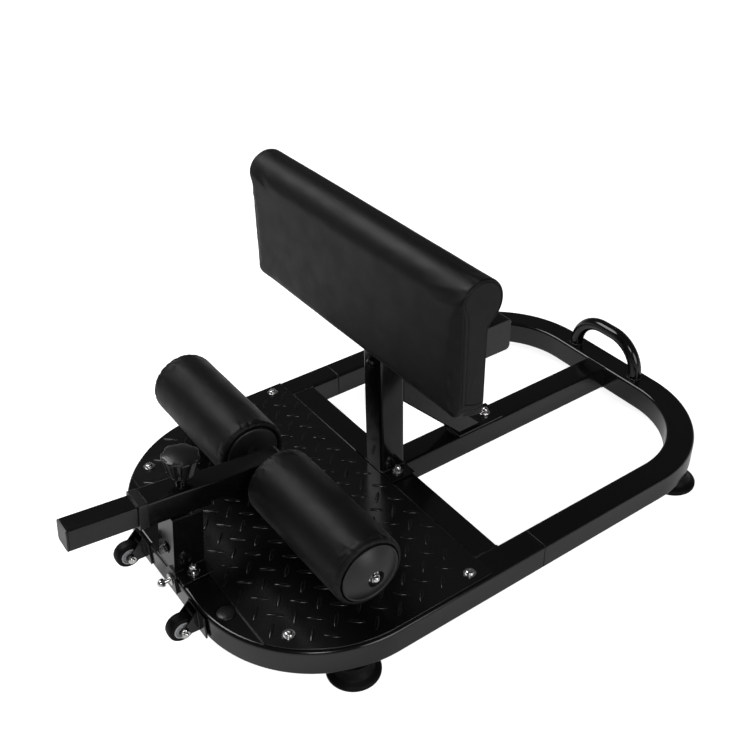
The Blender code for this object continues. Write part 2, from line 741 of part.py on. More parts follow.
def build_clamp(slide):
    """The lobed knob and its screw, which turn together about the screw's axis."""
    base = SLEEVE / 2 + BOSS_HEIGHT + CLAMP_STEM
    place = (0, CLAMP_U, base)
    levels = (
        (0.42, 0.0, 0.0), (0.52, 0.10, 0.3), (0.86, 0.26, 1.0), (0.97, 0.42, 1.0), (1.0, 0.72, 1.0),
        (0.96, 0.86, 0.6), (0.88, 0.95, 0.2), (0.5, 0.99, 0.0), (0.12, 1.0, 0.0),
    )
    rings = [knob_ring(KNOB_RADIUS * r, KNOB_HEIGHT * h, KNOB_FLUTE * f) for r, h, f in levels]
    knob = finish(loft(rings))
    depth = KNOB_HEIGHT / 2
    knob = cut(knob, [rod(SCREW_RADIUS + GAP, -GAP, depth + GAP, "Z")])
    add_object("clamp_knob", knob, "plastic", slide, place)
    tip = ROLLER_TUBE / 2 + GAP - base
    add_object("clamp_screw", rod(SCREW_RADIUS, tip, depth, "Z"), "chrome", slide, place)


def tube_cap(width, wall, radius, turn=0):
    """A push-in end cap facing -Y, turned about Z: a flat plate with a plug behind it."""
    outline = rounded_rectangle(width, width, radius)
    bore = width - 2 * wall - 2 * GAP
    plug = rounded_rectangle(bore, bore, radius - wall / 2)
    edge = [(0.97 * x, 0.97 * z) for x, z in outline]
    rings = [
        [(x, -CAP_THICK, z) for x, z in edge], [(x, -CAP_THICK * 0.7, z) for x, z in outline],
        [(x, 0, z) for x, z in outline], [(x, 0, z) for x, z in plug], [(x, CAP_PLUG, z) for x, z in plug],
    ]
    return turned(finish(loft(rings)), turn, "Z")


def build_roller_tube(slide):
    tube = square_tube(ROLLER_TUBE, ROLLER_TUBE, TUBE_WALL, 0.004, ROLLER_TUBE_FRONT, ROLLER_TUBE_REAR, "Y")
    reach = ROLLER_TUBE
    hole = moved(rod(SHAFT_RADIUS + GAP, -reach, reach, "X", ROLLER_SIDES), (0, SHAFT_U, -SHAFT_DROP))
    add_object("roller_tube", cut(tube, [hole]), "paint", slide)
    front = (0, ROLLER_TUBE_FRONT - GAP, 0)
    add_object("roller_tube_cap_front", tube_cap(ROLLER_TUBE, TUBE_WALL, 0.004), "plastic", slide, front)
    rear_cap = tube_cap(ROLLER_TUBE, TUBE_WALL, 0.004, 180)
    # the plug stops short of the cross shaft
    rear = (0, ROLLER_TUBE_REAR + GAP, 0)
    room = ROLLER_TUBE_REAR - SHAFT_U - SHAFT_RADIUS - 4 * GAP
    trim = box((-reach, -2 * CAP_PLUG, -reach), (reach, -room, reach))
    add_object("roller_tube_cap_rear", cut(rear_cap, [trim]), "plastic", slide, rear)


def bolt_seat_x():
    """Where the end bolts' washers sit, inside the dish of the outer caps."""
    return ROLLER_OUTER_X - OUTER_POCKET + CAP_WEB


def build_shaft(slide):
    end = bolt_seat_x() - GAP
    depth = 0.020
    shaft = rod(SHAFT_RADIUS, -end, end, "X", ROLLER_SIDES)
    ends = [rod(SCREW_RADIUS + GAP, low, low + 2 * depth, "X") for low in (end - depth, -end - depth)]
    place = (0, SHAFT_U, -SHAFT_DROP)
    add_object("roller_shaft", cut(shaft, ends), "chrome", slide, place)
    for side_name, side in SIDES:
        bolt = turned(domed_bolt(depth * 0.85), 90 * side, "Y")
        spot = (side * bolt_seat_x(), SHAFT_U, -SHAFT_DROP)
        add_object(f"roller_bolt_{side_name}", bolt, "chrome", slide, spot)


def foam_profile():
    """Half section of a roller's foam in (radius, x): a soft crown, round shoulders and pockets."""
    fillet = ROLLER_FILLET
    low = ROLLER_INNER_X
    high = ROLLER_OUTER_X
    edge = ROLLER_RADIUS - ROLLER_CROWN
    pocket = CAP_RADIUS + GAP
    bore = ROLLER_CORE + GAP
    points = [(bore, low + INNER_POCKET), (pocket, low + INNER_POCKET), (pocket, low + 0.001)]
    for k in range(4):
        angle = math.radians(30 * k)
        points.append((edge - fillet + fillet * math.sin(angle), low + fillet - fillet * math.cos(angle)))
    points.append((ROLLER_RADIUS, low + (high - low) * 0.25))
    points.append((ROLLER_RADIUS, low + (high - low) * 0.75))
    for k in range(4):
        angle = math.radians(90 - 30 * k)
        points.append((edge - fillet + fillet * math.sin(angle), high - fillet + fillet * math.cos(angle)))
    points += [(pocket, high - 0.001), (pocket, high - OUTER_POCKET), (bore, high - OUTER_POCKET)]
    return points


def build_rollers(slide):
    for side_name, side in SIDES:
        place = (0, SHAFT_U, -SHAFT_DROP)
        turn = 0 if side > 0 else 180
        foam = turned(revolve(foam_profile(), "X", ROLLER_SIDES, True), turn, "Z")
        add_object(f"roller_foam_{side_name}", foam, "vinyl", slide, place)
        bore = SHAFT_RADIUS + BEARING_PLAY
        disc = ROLLER_INNER_X + INNER_POCKET - GAP
        outer_back = ROLLER_OUTER_X - OUTER_POCKET
        spool = [
            (bore, ROLLER_TUBE / 2 + 2 * GAP), (ROLLER_CORE, ROLLER_TUBE / 2 + 2 * GAP),
            (ROLLER_CORE, ROLLER_INNER_X + 0.003), (CAP_RADIUS * 0.8, ROLLER_INNER_X + 0.003),
            (CAP_RADIUS * 0.92, ROLLER_INNER_X + 0.001), (CAP_RADIUS, ROLLER_INNER_X + 0.001),
            (CAP_RADIUS, disc), (ROLLER_CORE, disc),
            (ROLLER_CORE, outer_back - GAP), (bore, outer_back - GAP),
        ]
        mesh = turned(revolve(spool, "X", ROLLER_SIDES, True), turn, "Z")
        add_object(f"roller_spool_{side_name}", mesh, "plastic", slide, place)
        seat = bolt_seat_x() - 2 * GAP
        cap = [
            (bore, outer_back + GAP), (CAP_RADIUS, outer_back + GAP), (CAP_RADIUS, ROLLER_OUTER_X - 0.001),
            (CAP_RADIUS * 0.90, ROLLER_OUTER_X - 0.001), (CAP_RADIUS * 0.78, seat + 0.001),
            (CAP_RADIUS * 0.34, seat), (bore, seat),
        ]
        mesh = turned(revolve(cap, "X", ROLLER_SIDES, True), turn, "Z")
        add_object(f"roller_cap_{side_name}", mesh, "plastic", slide, place)


def build_post(machine):
    low = RING_TOP + GAP
    plate_top = low + FOOT_PLATE_THICK
    post_top = PAD_TUBE_BOTTOM - GAP
    root = plate_top - FOOT_PLATE_THICK / 2
    tube = moved(square_tube(TUBE, TUBE, TUBE_WALL, TUBE_ROUND, root, post_top, "Z"), (0, POST_Y, 0))
    half = POST_PLATE_WIDTH / 2
    plate = beveled(box((-half, CROSS_Y, low), (half, CROSS_Y + TUBE, plate_top)), 0.001)
    cutters = []
    for _, side in SIDES:
        cutters += holes([(side * POST_BOLT_X, POST_Y, 0)], SHANK_HOLE, low - GAP, plate_top + GAP)
    add_object("post", cut(join(plate, [tube]), cutters), "paint", machine)
    for side_name, side in SIDES:
        place = (side * POST_BOLT_X, POST_Y, plate_top + GAP)
        add_object(f"post_bolt_{side_name}", domed_bolt(SCREW_REACH), "chrome", machine, place)


def brace_section():
    """The brace seen from the side, at 45 degrees from the back of the post to its foot plate."""
    back = CROSS_Y + TUBE + GAP
    foot = RING_TOP + GAP + FOOT_PLATE_THICK / 2
    low = RING_TOP + BRACE_RISE
    high = low + BRACE_DEPTH * math.sqrt(2)
    return [(back, low), (back, high), (back + high - foot, foot), (back + low - foot, foot)]


def brace_bolt_y():
    return brace_section()[2][0] + BRACE_BOLT_BACK


def build_brace(machine):
    section = brace_section()
    (back, low), (_, high), (far, foot), (near, _) = section
    half = BRACE_WIDTH / 2
    solid = beveled(prism(section, "X", -half, half), 0.0025)
    wall = TUBE_WALL * math.sqrt(2)
    over = TUBE
    hollow = [
        (back - over, low + wall + over), (back - over, high - wall + over),
        (far - wall + over, foot - over), (near + wall + over, foot - over),
    ]
    inside = prism(hollow, "X", -half + TUBE_WALL, half - TUBE_WALL)
    plate_low = RING_TOP + GAP
    plate_high = plate_low + FOOT_PLATE_THICK
    plate = box((-TUBE / 2, near - 0.006, plate_low), (TUBE / 2, far + BRACE_PLATE_REAR, plate_high))
    hole = holes([(0, brace_bolt_y(), 0)], SHANK_HOLE, plate_low - GAP, plate_high + GAP)
    brace = join(cut(solid, [inside]), [beveled(plate, 0.001)])
    add_object("brace", cut(brace, hole), "paint", machine)
    place = (0, brace_bolt_y(), plate_high + GAP)
    add_object("brace_bolt", domed_bolt(SCREW_REACH), "chrome", machine, place)


def build_pad_tube(machine):
    reach = PAD_WIDTH / 2 - PAD_TUBE_INSET - CAP_THICK - GAP
    tube = square_tube(TUBE, TUBE, TUBE_WALL, TUBE_ROUND, -reach, reach, "X")
    place = (0, PAD_TUBE_Y, PAD_TUBE_Z)
    face = -TUBE / 2
    strip = box(
        (-STRIP_WIDTH / 2, face - STRIP_THICK, -STRIP_HEIGHT / 2),
        (STRIP_WIDTH / 2, face + TUBE_WALL / 2, STRIP_HEIGHT / 2),
    )
    cutters = [moved(rod(SHANK_HOLE, -TUBE, TUBE, "Y"), (side * PAD_BOLT_X, 0, 0)) for _, side in SIDES]
    add_object("pad_tube", cut(join(tube, [strip]), cutters), "paint", machine, place)
    for side_name, side in SIDES:
        cap = tube_cap(TUBE, TUBE_WALL, TUBE_ROUND, 90 * side)
        spot = (side * (reach + GAP), PAD_TUBE_Y, PAD_TUBE_Z)
        add_object(f"pad_tube_cap_{side_name}", cap, "plastic", machine, spot)
    seat = PAD_TUBE_Y + TUBE / 2 + GAP
    reach = seat - PAD_BACK_Y + BOARD_THICK * 0.8
    for side_name, side in SIDES:
        bolt = turned(domed_bolt(reach), -90, "X")
        add_object(f"pad_bolt_{side_name}", bolt, "chrome", machine, (side * PAD_BOLT_X, seat, PAD_TUBE_Z))


def round_edge(depth, radius):
    """How far a round edge has drawn back at a depth behind the face that it ends."""
    rest = max(0.0, radius - depth)
    return radius - math.sqrt(radius ** 2 - rest ** 2)


def pad_section(inset, lift, crown=0.0):
    """The pad seen from its end in (y, z): a slab with a round roll along its top edge."""
    front = PAD_BACK_Y - PAD_THICK
    roll = PAD_ROLL_RADIUS
    centre = (front + roll, PAD_TOP - roll)
    turn_z = PAD_BOTTOM + lift + PAD_FRONT_CORNER
    points = []
    for k in range(4):
        angle = math.radians(180 + 30 * k)
        reach = PAD_FRONT_CORNER - inset
        y = front + PAD_FRONT_CORNER + reach * math.cos(angle)
        points.append((y, turn_z + reach * math.sin(angle)))
    back = PAD_BACK_Y - inset
    bottom = PAD_BOTTOM + lift + inset
    points.append((back - PAD_BACK_CORNER, bottom))
    points.append((back, bottom + PAD_BACK_CORNER))
    neck = centre[1] - roll
    points.append((back, neck - 0.004))
    points.append((back + 0.002, neck + 0.004))
    for k in range(13):
        angle = math.radians(-62 + 242 * k / 12)
        reach = roll - inset
        points.append((centre[0] + reach * math.cos(angle), centre[1] + reach * math.sin(angle)))
    middle = (PAD_BOTTOM + PAD_FRONT_CORNER + centre[1]) / 2
    points.append((front + inset - crown, middle + 0.035))
    points.append((front + inset - crown, middle - 0.035))
    return points


def pad_rings():
    """Sections of the pad from its right end to its left one."""
    half = PAD_WIDTH / 2
    places = []
    for share in (0.0, 0.06, 0.16, 0.32, 0.62, 1.0):
        depth = PAD_CORNER * share
        places.append((half - depth, round_edge(depth, PAD_EDGE), round_edge(depth, PAD_CORNER), 0.0))
    for share, bulge in ((0.78, 0.5), (0.5, 0.9), (0.2, 1.0)):
        places.append((half * share, 0.0, 0.0, PAD_CROWN * bulge))
    places += [(-x, inset, lift, crown) for x, inset, lift, crown in reversed(places)]
    return [[(x, y, z) for y, z in pad_section(inset, lift, crown)] for x, inset, lift, crown in places]


def build_pad(machine):
    cushion = finish(loft(pad_rings()))
    half = PAD_WIDTH / 2 - BOARD_MARGIN
    low = PAD_BOTTOM + BOARD_MARGIN
    front = PAD_BACK_Y - BOARD_THICK
    pocket = box(
        (-half - GAP, front - GAP, low - GAP),
        (half + GAP, PAD_BACK_Y + STRIP_THICK, low + BOARD_HEIGHT + GAP),
    )
    add_object("pad_cushion", cut(cushion, [pocket]), "vinyl", machine)
    board = beveled(box((-half, front, low), (half, PAD_BACK_Y, low + BOARD_HEIGHT)), 0.001)
    cutters = []
    for _, side in SIDES:
        spot = (side * PAD_BOLT_X, 0, PAD_TUBE_Z)
        cutters += holes([spot], SHANK_HOLE, PAD_BACK_Y - 2 * BOARD_THICK, PAD_TUBE_Y, "Y")
    add_object("pad_board", cut(board, cutters), "board", machine)


def main():
    clear_scene()
    machine = add_empty("machine", location=(0, -CENTRE_Y, 0))
    slide = add_empty("slide_axis", machine, (0, 0, SLIDE_Z), -SLIDE_PITCH)
    build_ring(machine)
    build_rails(machine)
    build_handle(machine)
    build_platform(machine)
    build_plugs(machine)
    build_feet(machine)
    build_wheels(machine)
    build_saddle(machine)
    build_saddle_bolts(machine)
    build_sleeve(slide)
    build_clamp(slide)
    build_roller_tube(slide)
    build_shaft(slide)
    build_rollers(slide)
    build_post(machine)
    build_brace(machine)
    build_pad_tube(machine)
    build_pad(machine)


main()
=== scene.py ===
# %% [markdown]
# # A sissy squat machine, dressed in Blender
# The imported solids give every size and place. Here they get paint, vinyl, rubber and zinc, and the
# pieces that a solid modeller leaves plain are built again with finer shapes around them.

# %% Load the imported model
import math
import random

import bmesh
import bpy
import numpy as np
from mathutils import Matrix, Vector, noise


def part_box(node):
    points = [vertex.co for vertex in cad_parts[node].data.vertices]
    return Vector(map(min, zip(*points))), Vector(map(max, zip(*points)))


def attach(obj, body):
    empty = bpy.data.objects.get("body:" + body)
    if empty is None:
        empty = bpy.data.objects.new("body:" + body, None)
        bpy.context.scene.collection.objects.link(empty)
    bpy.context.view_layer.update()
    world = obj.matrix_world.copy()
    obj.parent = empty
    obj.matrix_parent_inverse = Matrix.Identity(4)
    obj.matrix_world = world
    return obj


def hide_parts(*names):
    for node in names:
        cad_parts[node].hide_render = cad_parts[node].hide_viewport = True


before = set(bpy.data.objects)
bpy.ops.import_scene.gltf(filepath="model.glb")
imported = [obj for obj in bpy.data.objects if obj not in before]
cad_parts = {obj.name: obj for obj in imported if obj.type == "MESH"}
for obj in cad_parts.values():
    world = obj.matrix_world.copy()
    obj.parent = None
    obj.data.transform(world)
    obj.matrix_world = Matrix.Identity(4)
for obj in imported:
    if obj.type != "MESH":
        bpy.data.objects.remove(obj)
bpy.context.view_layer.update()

# %% [markdown]
# The front face of the base ring is the line that every length is counted from, and the tube with
# the foot rollers slides in a frame of its own, pitched six degrees nose up. Two short helpers turn
# such numbers into places in the model, so that the numbers stay readable.

# %% Places on the machine
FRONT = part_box("front_ring_tube")[0].y
SLIDE_HEIGHT, SLIDE_PITCH = 0.2108, math.radians(-6)
SLIDE = Matrix.Translation((0, FRONT, SLIDE_HEIGHT)) @ Matrix.Rotation(SLIDE_PITCH, 4, "X")
X, Y, UP = Vector((1, 0, 0)), Vector((0, 1, 0)), Vector((0, 0, 1))
TUBE = 0.050
GAP = 0.0003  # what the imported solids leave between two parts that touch
RING_LOW, RING_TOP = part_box("front_ring_tube")[0].z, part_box("front_ring_tube")[1].z


def floor_place(x, y, z):
    """A place from its distance behind the ring's front face."""
    return Vector((x, FRONT + y, z))


def slide_place(x, along, above):
    """A place on the pitched tube: along it to the rear, and above its middle line."""
    return SLIDE @ Vector((x, along, above))


print("front face at", round(FRONT, 4), "ring top at", round(RING_TOP, 4))

# %% [markdown]
# ## Node trees in few lines
# Materials and Geometry Nodes are both trees of nodes. One helper makes a node, sets its settings,
# and either writes a value on each input or links it to another node's output.

# %% Helpers for every node tree
GEOMETRY, FLOAT = "NodeSocketGeometry", "NodeSocketFloat"
MATERIAL = ("Material", "NodeSocketMaterial", None)


def add_node(tree, kind, inputs=None, **settings):
    node = tree.nodes.new(kind)
    for key, value in settings.items():
        setattr(node, key, value)
    for key, value in (inputs or {}).items():
        if isinstance(value, bpy.types.NodeSocket):
            tree.links.new(value, node.inputs[key])
        else:
            node.inputs[key].default_value = value
    return node


def out_of(tree, kind, inputs=None, socket=0, **settings):
    """Adds a node and gives back one of its outputs, by place or name."""
    return add_node(tree, kind, inputs, **settings).outputs[socket]


def new_group(name, kind, inputs, outputs):
    """An empty node group with named sockets; returns the tree, its inputs and its output node."""
    tree = bpy.data.node_groups.new(name, kind)
    for label, socket_type, default in inputs:
        item = tree.interface.new_socket(label, in_out="INPUT", socket_type=socket_type)
        if default is not None:
            item.default_value = default
    for label, socket_type in outputs:
        tree.interface.new_socket(label, in_out="OUTPUT", socket_type=socket_type)
    return tree, tree.nodes.new("NodeGroupInput").outputs, tree.nodes.new("NodeGroupOutput")


def math_node(tree, operation, a, b=0.0, clamp=False):
    return out_of(tree, "ShaderNodeMath", {0: a, 1: b}, operation=operation, use_clamp=clamp)


def noise_at(tree, scale, detail=2.0, stretch=None):
    """Noise in the piece's own coordinates, stretched along its axes where asked."""
    vector = out_of(tree, "ShaderNodeTexCoord", socket="Object")
    if stretch:
        vector = out_of(tree, "ShaderNodeMapping", {"Vector": vector, "Scale": stretch})
    return out_of(tree, "ShaderNodeTexNoise", {"Vector": vector, "Scale": scale, "Detail": detail})


# %% [markdown]
# ## Shader groups
# Paint, vinyl and rubber share a few effects, so each effect is a group with its own inputs. The edge mask
# compares the surface normal with one that is rounded over, which differs only near edges; the paint uses it
# for a painted highlight along sharp edges.

# %% Edge highlight mask and dust
def edge_highlight_group():
    tree, inputs, output = new_group(
        "Edge Wear", "ShaderNodeTree",
        [("Radius", FLOAT, 0.001), ("Breakup", FLOAT, 300.0)],
        [("Mask", FLOAT)],
    )
    rounded = add_node(tree, "ShaderNodeBevel", {"Radius": inputs["Radius"]}, samples=4)
    surface = add_node(tree, "ShaderNodeNewGeometry")
    vectors = {0: rounded.outputs[0], 1: surface.outputs["Normal"]}
    dot = out_of(tree, "ShaderNodeVectorMath", vectors, operation="DOT_PRODUCT", socket="Value")
    edge = math_node(tree, "MULTIPLY", math_node(tree, "SUBTRACT", 1.0, dot), 3.0, True)
    broken = math_node(tree, "MULTIPLY", edge, noise_at(tree, inputs["Breakup"], 3.0), True)
    tree.links.new(broken, output.inputs["Mask"])
    return tree


def dust_group():
    """More dust where a surface looks up, in soft patches with fine specks."""
    tree, inputs, output = new_group(
        "Settled Dust", "ShaderNodeTree",
        [("Patch Scale", FLOAT, 9.0), ("Speck Scale", FLOAT, 700.0), ("Amount", FLOAT, 0.3)],
        [("Mask", FLOAT)],
    )
    patches = noise_at(tree, inputs["Patch Scale"], 4.0)
    specks = noise_at(tree, inputs["Speck Scale"], 1.0)
    surface = add_node(tree, "ShaderNodeNewGeometry")
    up = out_of(tree, "ShaderNodeSeparateXYZ", {0: surface.outputs["Normal"]}, socket="Z")
    facing = math_node(tree, "MAXIMUM", up, 0.0)
    both = math_node(tree, "MULTIPLY", math_node(tree, "MULTIPLY", patches, specks), facing)
    tree.links.new(math_node(tree, "MULTIPLY", both, inputs["Amount"], True), output.inputs["Mask"])
    return tree


EDGE_HIGHLIGHT_MASK = edge_highlight_group()
DUST = dust_group()
print("shader groups", EDGE_HIGHLIGHT_MASK.name, DUST.name)

# %% [markdown]
# Vinyl is pressed with a leather grain: small rounded cells with fine creases between them. Moulded
# plastic and rubber have a much finer, even grain. Both are heights for a Bump node.

# %% Grain of vinyl, plastic and rubber
def leather_group():
    tree, inputs, output = new_group(
        "Leather Grain", "ShaderNodeTree",
        [("Cell Scale", FLOAT, 900.0), ("Wobble", FLOAT, 0.35)],
        [("Height", FLOAT), ("Creases", FLOAT)],
    )
    coordinates = out_of(tree, "ShaderNodeTexCoord", socket="Object")
    wobble = {"Vector": coordinates, "Scale": 260.0, "Detail": 2.0}
    bend = out_of(tree, "ShaderNodeTexNoise", wobble, socket="Color")
    shift = out_of(tree, "ShaderNodeVectorMath", {0: bend, "Scale": 0.0025}, operation="SCALE")
    bent = out_of(tree, "ShaderNodeVectorMath", {0: coordinates, 1: shift}, operation="ADD")
    cells = out_of(
        tree, "ShaderNodeTexVoronoi", {"Vector": bent, "Scale": inputs["Cell Scale"], "Randomness": 1.0},
        feature="DISTANCE_TO_EDGE", socket="Distance",
    )
    rounded = math_node(tree, "POWER", math_node(tree, "MULTIPLY", cells, 2.2, True), 0.45)
    soft = noise_at(tree, 120.0, 3.0)
    height = math_node(tree, "ADD", rounded, math_node(tree, "MULTIPLY", soft, inputs["Wobble"]))
    tree.links.new(height, output.inputs["Height"])
    tree.links.new(math_node(tree, "SUBTRACT", 1.0, rounded, True), output.inputs["Creases"])
    return tree


def moulded_group():
    tree, inputs, output = new_group(
        "Moulded Grain", "ShaderNodeTree", [("Scale", FLOAT, 1800.0)], [("Height", FLOAT)],
    )
    tree.links.new(noise_at(tree, inputs["Scale"]), output.inputs["Height"])
    return tree


LEATHER = leather_group()
MOULDED = moulded_group()
print("shader groups", LEATHER.name, MOULDED.name)

# %% [markdown]
# ## Materials
# Every finish starts from one Principled shader whose plain values sit on its own sockets. Groups
# and textures then vary colour, roughness and height around those values.

# %% Building blocks of a material
def plain_shader(name, color, roughness, metallic=0.0, shine=0.5):
    item = bpy.data.materials.new(name)
    item.use_nodes = True
    shader = item.node_tree.nodes["Principled BSDF"]
    shader.inputs["Base Color"].default_value = (*color, 1)
    shader.inputs["Roughness"].default_value = roughness
    shader.inputs["Metallic"].default_value = metallic
    shader.inputs["Specular IOR Level"].default_value = shine
    item.diffuse_color = (*color, 1)
    return item, item.node_tree, shader


def use_group(tree, group, **values):
    inputs = {name.replace("_", " "): value for name, value in values.items()}
    return add_node(tree, "ShaderNodeGroup", inputs, node_tree=group)


def spread(tree, factor, low, high):
    """Maps the middle of a noise to a range of values."""
    return out_of(
        tree, "ShaderNodeMapRange",
        {"Value": factor, "From Min": 0.3, "From Max": 0.7, "To Min": low, "To Max": high},
    )


def blend_colors(tree, factor, first, second):
    node = add_node(tree, "ShaderNodeMix", {"Factor": factor}, data_type="RGBA")
    for socket, value in ((node.inputs[6], first), (node.inputs[7], second)):
        if isinstance(value, bpy.types.NodeSocket):
            tree.links.new(value, socket)
        else:
            socket.default_value = (*value, 1)
    return node.outputs[2]


def add_bump(tree, shader, height, strength, distance):
    bump = add_node(tree, "ShaderNodeBump", {"Height": height, "Strength": strength, "Distance": distance})
    tree.links.new(bump.outputs[0], shader.inputs["Normal"])


# %% [markdown]
# The frame is welded tube under a gloss black powder coat. Powder flows out with a faint orange peel and is a
# little dull on sharp edges, where a lighter colour is painted in as a highlight. Almost all of what the eye
# sees is what it reflects.

# %% Gloss black powder coat
# The second colour is a painted highlight for sharp edges, not worn paint.
PAINT_BLACK, EDGE_HIGHLIGHT_PAINT = (0.0034, 0.0034, 0.0037), (0.016, 0.016, 0.0165)
DUST_GREY = (0.060, 0.058, 0.056)


def powder_coat(name, roughness, peel, dust):
    item, tree, shader = plain_shader(name, PAINT_BLACK, roughness)
    edge_highlight_and_dull = use_group(tree, EDGE_HIGHLIGHT_MASK, Radius=0.0011, Breakup=260.0).outputs[0]
    settled = use_group(tree, DUST, Amount=dust).outputs[0]
    # A lighter colour on sharp edges is a painted highlight; the same mask makes those edges a little
    # rougher.
    color = blend_colors(tree, edge_highlight_and_dull, PAINT_BLACK, EDGE_HIGHLIGHT_PAINT)
    tree.links.new(blend_colors(tree, settled, color, DUST_GREY), shader.inputs["Base Color"])
    gloss = spread(tree, noise_at(tree, 22.0, 4.0), roughness * 0.8, roughness * 1.25)
    dull = math_node(tree, "ADD", gloss, math_node(tree, "MULTIPLY", edge_highlight_and_dull, 0.25))
    dusty = math_node(tree, "ADD", dull, math_node(tree, "MULTIPLY", settled, 0.6), True)
    tree.links.new(dusty, shader.inputs["Roughness"])
    add_bump(tree, shader, noise_at(tree, 330.0, 1.0), peel, 0.00025)
    return item


PAINT = powder_coat("gloss_black_paint", 0.14, 0.07, 0.06)
TREAD_PAINT = powder_coat("tread_plate_paint", 0.17, 0.16, 0.14)
print("paints", PAINT.name, TREAD_PAINT.name)

# %% [markdown]
# The padding is covered in black vinyl. It is softer in gloss than the paint, with a pressed grain, and
# painted shade darkens the grain's creases.
# Stitches use a thicker, dull thread of the same black.

# %% Vinyl and thread
VINYL_BLACK, VINYL_WORN = (0.0052, 0.0052, 0.0056), (0.0078, 0.0078, 0.0083)
# The crease colour is painted shade for the grain's creases.
VINYL_CREASE_SHADE = (0.0038, 0.0038, 0.0041)


def vinyl_cover(name, roughness):
    item, tree, shader = plain_shader(name, VINYL_BLACK, roughness, shine=0.20)
    grain = use_group(tree, LEATHER, Cell_Scale=1000.0, Wobble=0.5)
    color = blend_colors(tree, noise_at(tree, 14.0, 3.0), VINYL_BLACK, VINYL_WORN)
    # Darker colour in the grain's creases is painted shade.
    crease_shaded = blend_colors(tree, grain.outputs["Creases"], color, VINYL_CREASE_SHADE)
    tree.links.new(crease_shaded, shader.inputs["Base Color"])
    rough = spread(tree, noise_at(tree, 30.0, 4.0), roughness * 0.9, roughness * 1.15)
    dull = math_node(tree, "MULTIPLY", grain.outputs["Creases"], 0.12)
    tree.links.new(math_node(tree, "ADD", rough, dull), shader.inputs["Roughness"])
    add_bump(tree, shader, grain.outputs["Height"], 0.22, 0.00025)
    return item


def sewing_thread():
    item, tree, shader = plain_shader("black_thread", (0.012, 0.012, 0.013), 0.6)
    add_bump(tree, shader, noise_at(tree, 2600.0, 1.0), 0.5, 0.0002)
    tree.links.new(spread(tree, noise_at(tree, 900.0), 0.55, 0.75), shader.inputs["Roughness"])
    return item


VINYL = vinyl_cover("black_vinyl", 0.40)
THREAD = sewing_thread()
print("padding", VINYL.name, THREAD.name)

# %% [markdown]
# Screws and nuts are bright zinc, brushed a little by the tumbling they get. Caps, spools and the
# knob are black plastic, the feet and tyres rubber, the wheel hubs pale nylon, the back board plywood.

# %% Zinc, plastic, rubber, nylon and plywood
def zinc_plate(name, color, roughness):
    item, tree, shader = plain_shader(name, color, roughness, 1.0)
    tint = noise_at(tree, 240.0, 3.0)
    warm = tuple(c * s for c, s in zip(color, (0.97, 0.93, 0.86)))
    tree.links.new(blend_colors(tree, tint, color, warm), shader.inputs["Base Color"])
    marks = noise_at(tree, 1400.0, 3.0, (1.0, 1.0, 0.15))
    tree.links.new(spread(tree, marks, roughness * 0.7, roughness * 1.5), shader.inputs["Roughness"])
    add_bump(tree, shader, marks, 0.10, 0.0001)
    return item


def moulded(name, color, roughness, scale, strength, dust=0.05, shine=0.5):
    item, tree, shader = plain_shader(name, color, roughness, shine=shine)
    grain = use_group(tree, MOULDED, Scale=scale).outputs[0]
    settled = use_group(tree, DUST, Amount=dust).outputs[0]
    pale = tuple(min(1.0, c * 1.4 + 0.05) for c in color)
    tree.links.new(blend_colors(tree, settled, color, pale), shader.inputs["Base Color"])
    rough = spread(tree, noise_at(tree, 60.0, 3.0), roughness * 0.88, roughness * 1.12)
    tree.links.new(rough, shader.inputs["Roughness"])
    add_bump(tree, shader, grain, strength, 0.00015)
    return item


def plywood():
    item, tree, shader = plain_shader("plywood_board", (0.36, 0.25, 0.15), 0.6)
    rings = noise_at(tree, 30.0, 5.0, (0.25, 1.0, 6.0))
    color = blend_colors(tree, rings, (0.45, 0.32, 0.19), (0.24, 0.15, 0.08))
    tree.links.new(color, shader.inputs["Base Color"])
    tree.links.new(spread(tree, rings, 0.5, 0.75), shader.inputs["Roughness"])
    add_bump(tree, shader, noise_at(tree, 220.0, 4.0, (0.2, 1.0, 3.0)), 0.35, 0.0003)
    return item


ZINC = zinc_plate("bright_zinc", (0.74, 0.75, 0.77), 0.15)
STEEL = zinc_plate("oiled_steel", (0.30, 0.30, 0.31), 0.34)
PLASTIC = moulded("black_plastic", (0.0052, 0.0052, 0.0056), 0.34, 1500.0, 0.16)
CAP_PLASTIC = moulded("cap_plastic", (0.0105, 0.0105, 0.0110), 0.42, 1700.0, 0.14)
KNOB_PLASTIC = moulded("knob_plastic", (0.0075, 0.0075, 0.0080), 0.30, 2200.0, 0.10)
RUBBER = moulded("black_rubber", (0.0032, 0.0032, 0.0033), 0.50, 1100.0, 0.30, dust=0.02, shine=0.14)
NYLON = moulded("pale_nylon", (0.50, 0.51, 0.52), 0.38, 2000.0, 0.10, 0.1)
PLYWOOD = plywood()
print(len(bpy.data.materials), "materials")

# %% [markdown]
# ## Mesh helpers
# A turned part is a profile spun about an axis. The profile is a closed loop where the part has a
# bore, and otherwise starts and ends on the axis, so that the skin closes there. Sharp corners of a
# profile are broken with small arcs first, because a real moulding or casting has no sharp edge.

# %% Pieces from meshes
def new_object(name, data):
    item = bpy.data.objects.new(name, data)
    bpy.context.scene.collection.objects.link(item)
    return item


def evaluated_mesh(piece):
    """The mesh that a piece's modifiers make, as a mesh of its own."""
    return bpy.data.meshes.new_from_object(piece.evaluated_get(bpy.context.evaluated_depsgraph_get()))


def link_piece(name, mesh, material, body, slot, *replaced):
    """Puts a finished mesh in the scene on the body it moves with."""
    piece = new_object(name, mesh)
    mesh.name = name
    mesh.materials.clear()
    mesh.materials.append(material)
    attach(piece, body)
    if replaced:
        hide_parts(*replaced)
    return piece


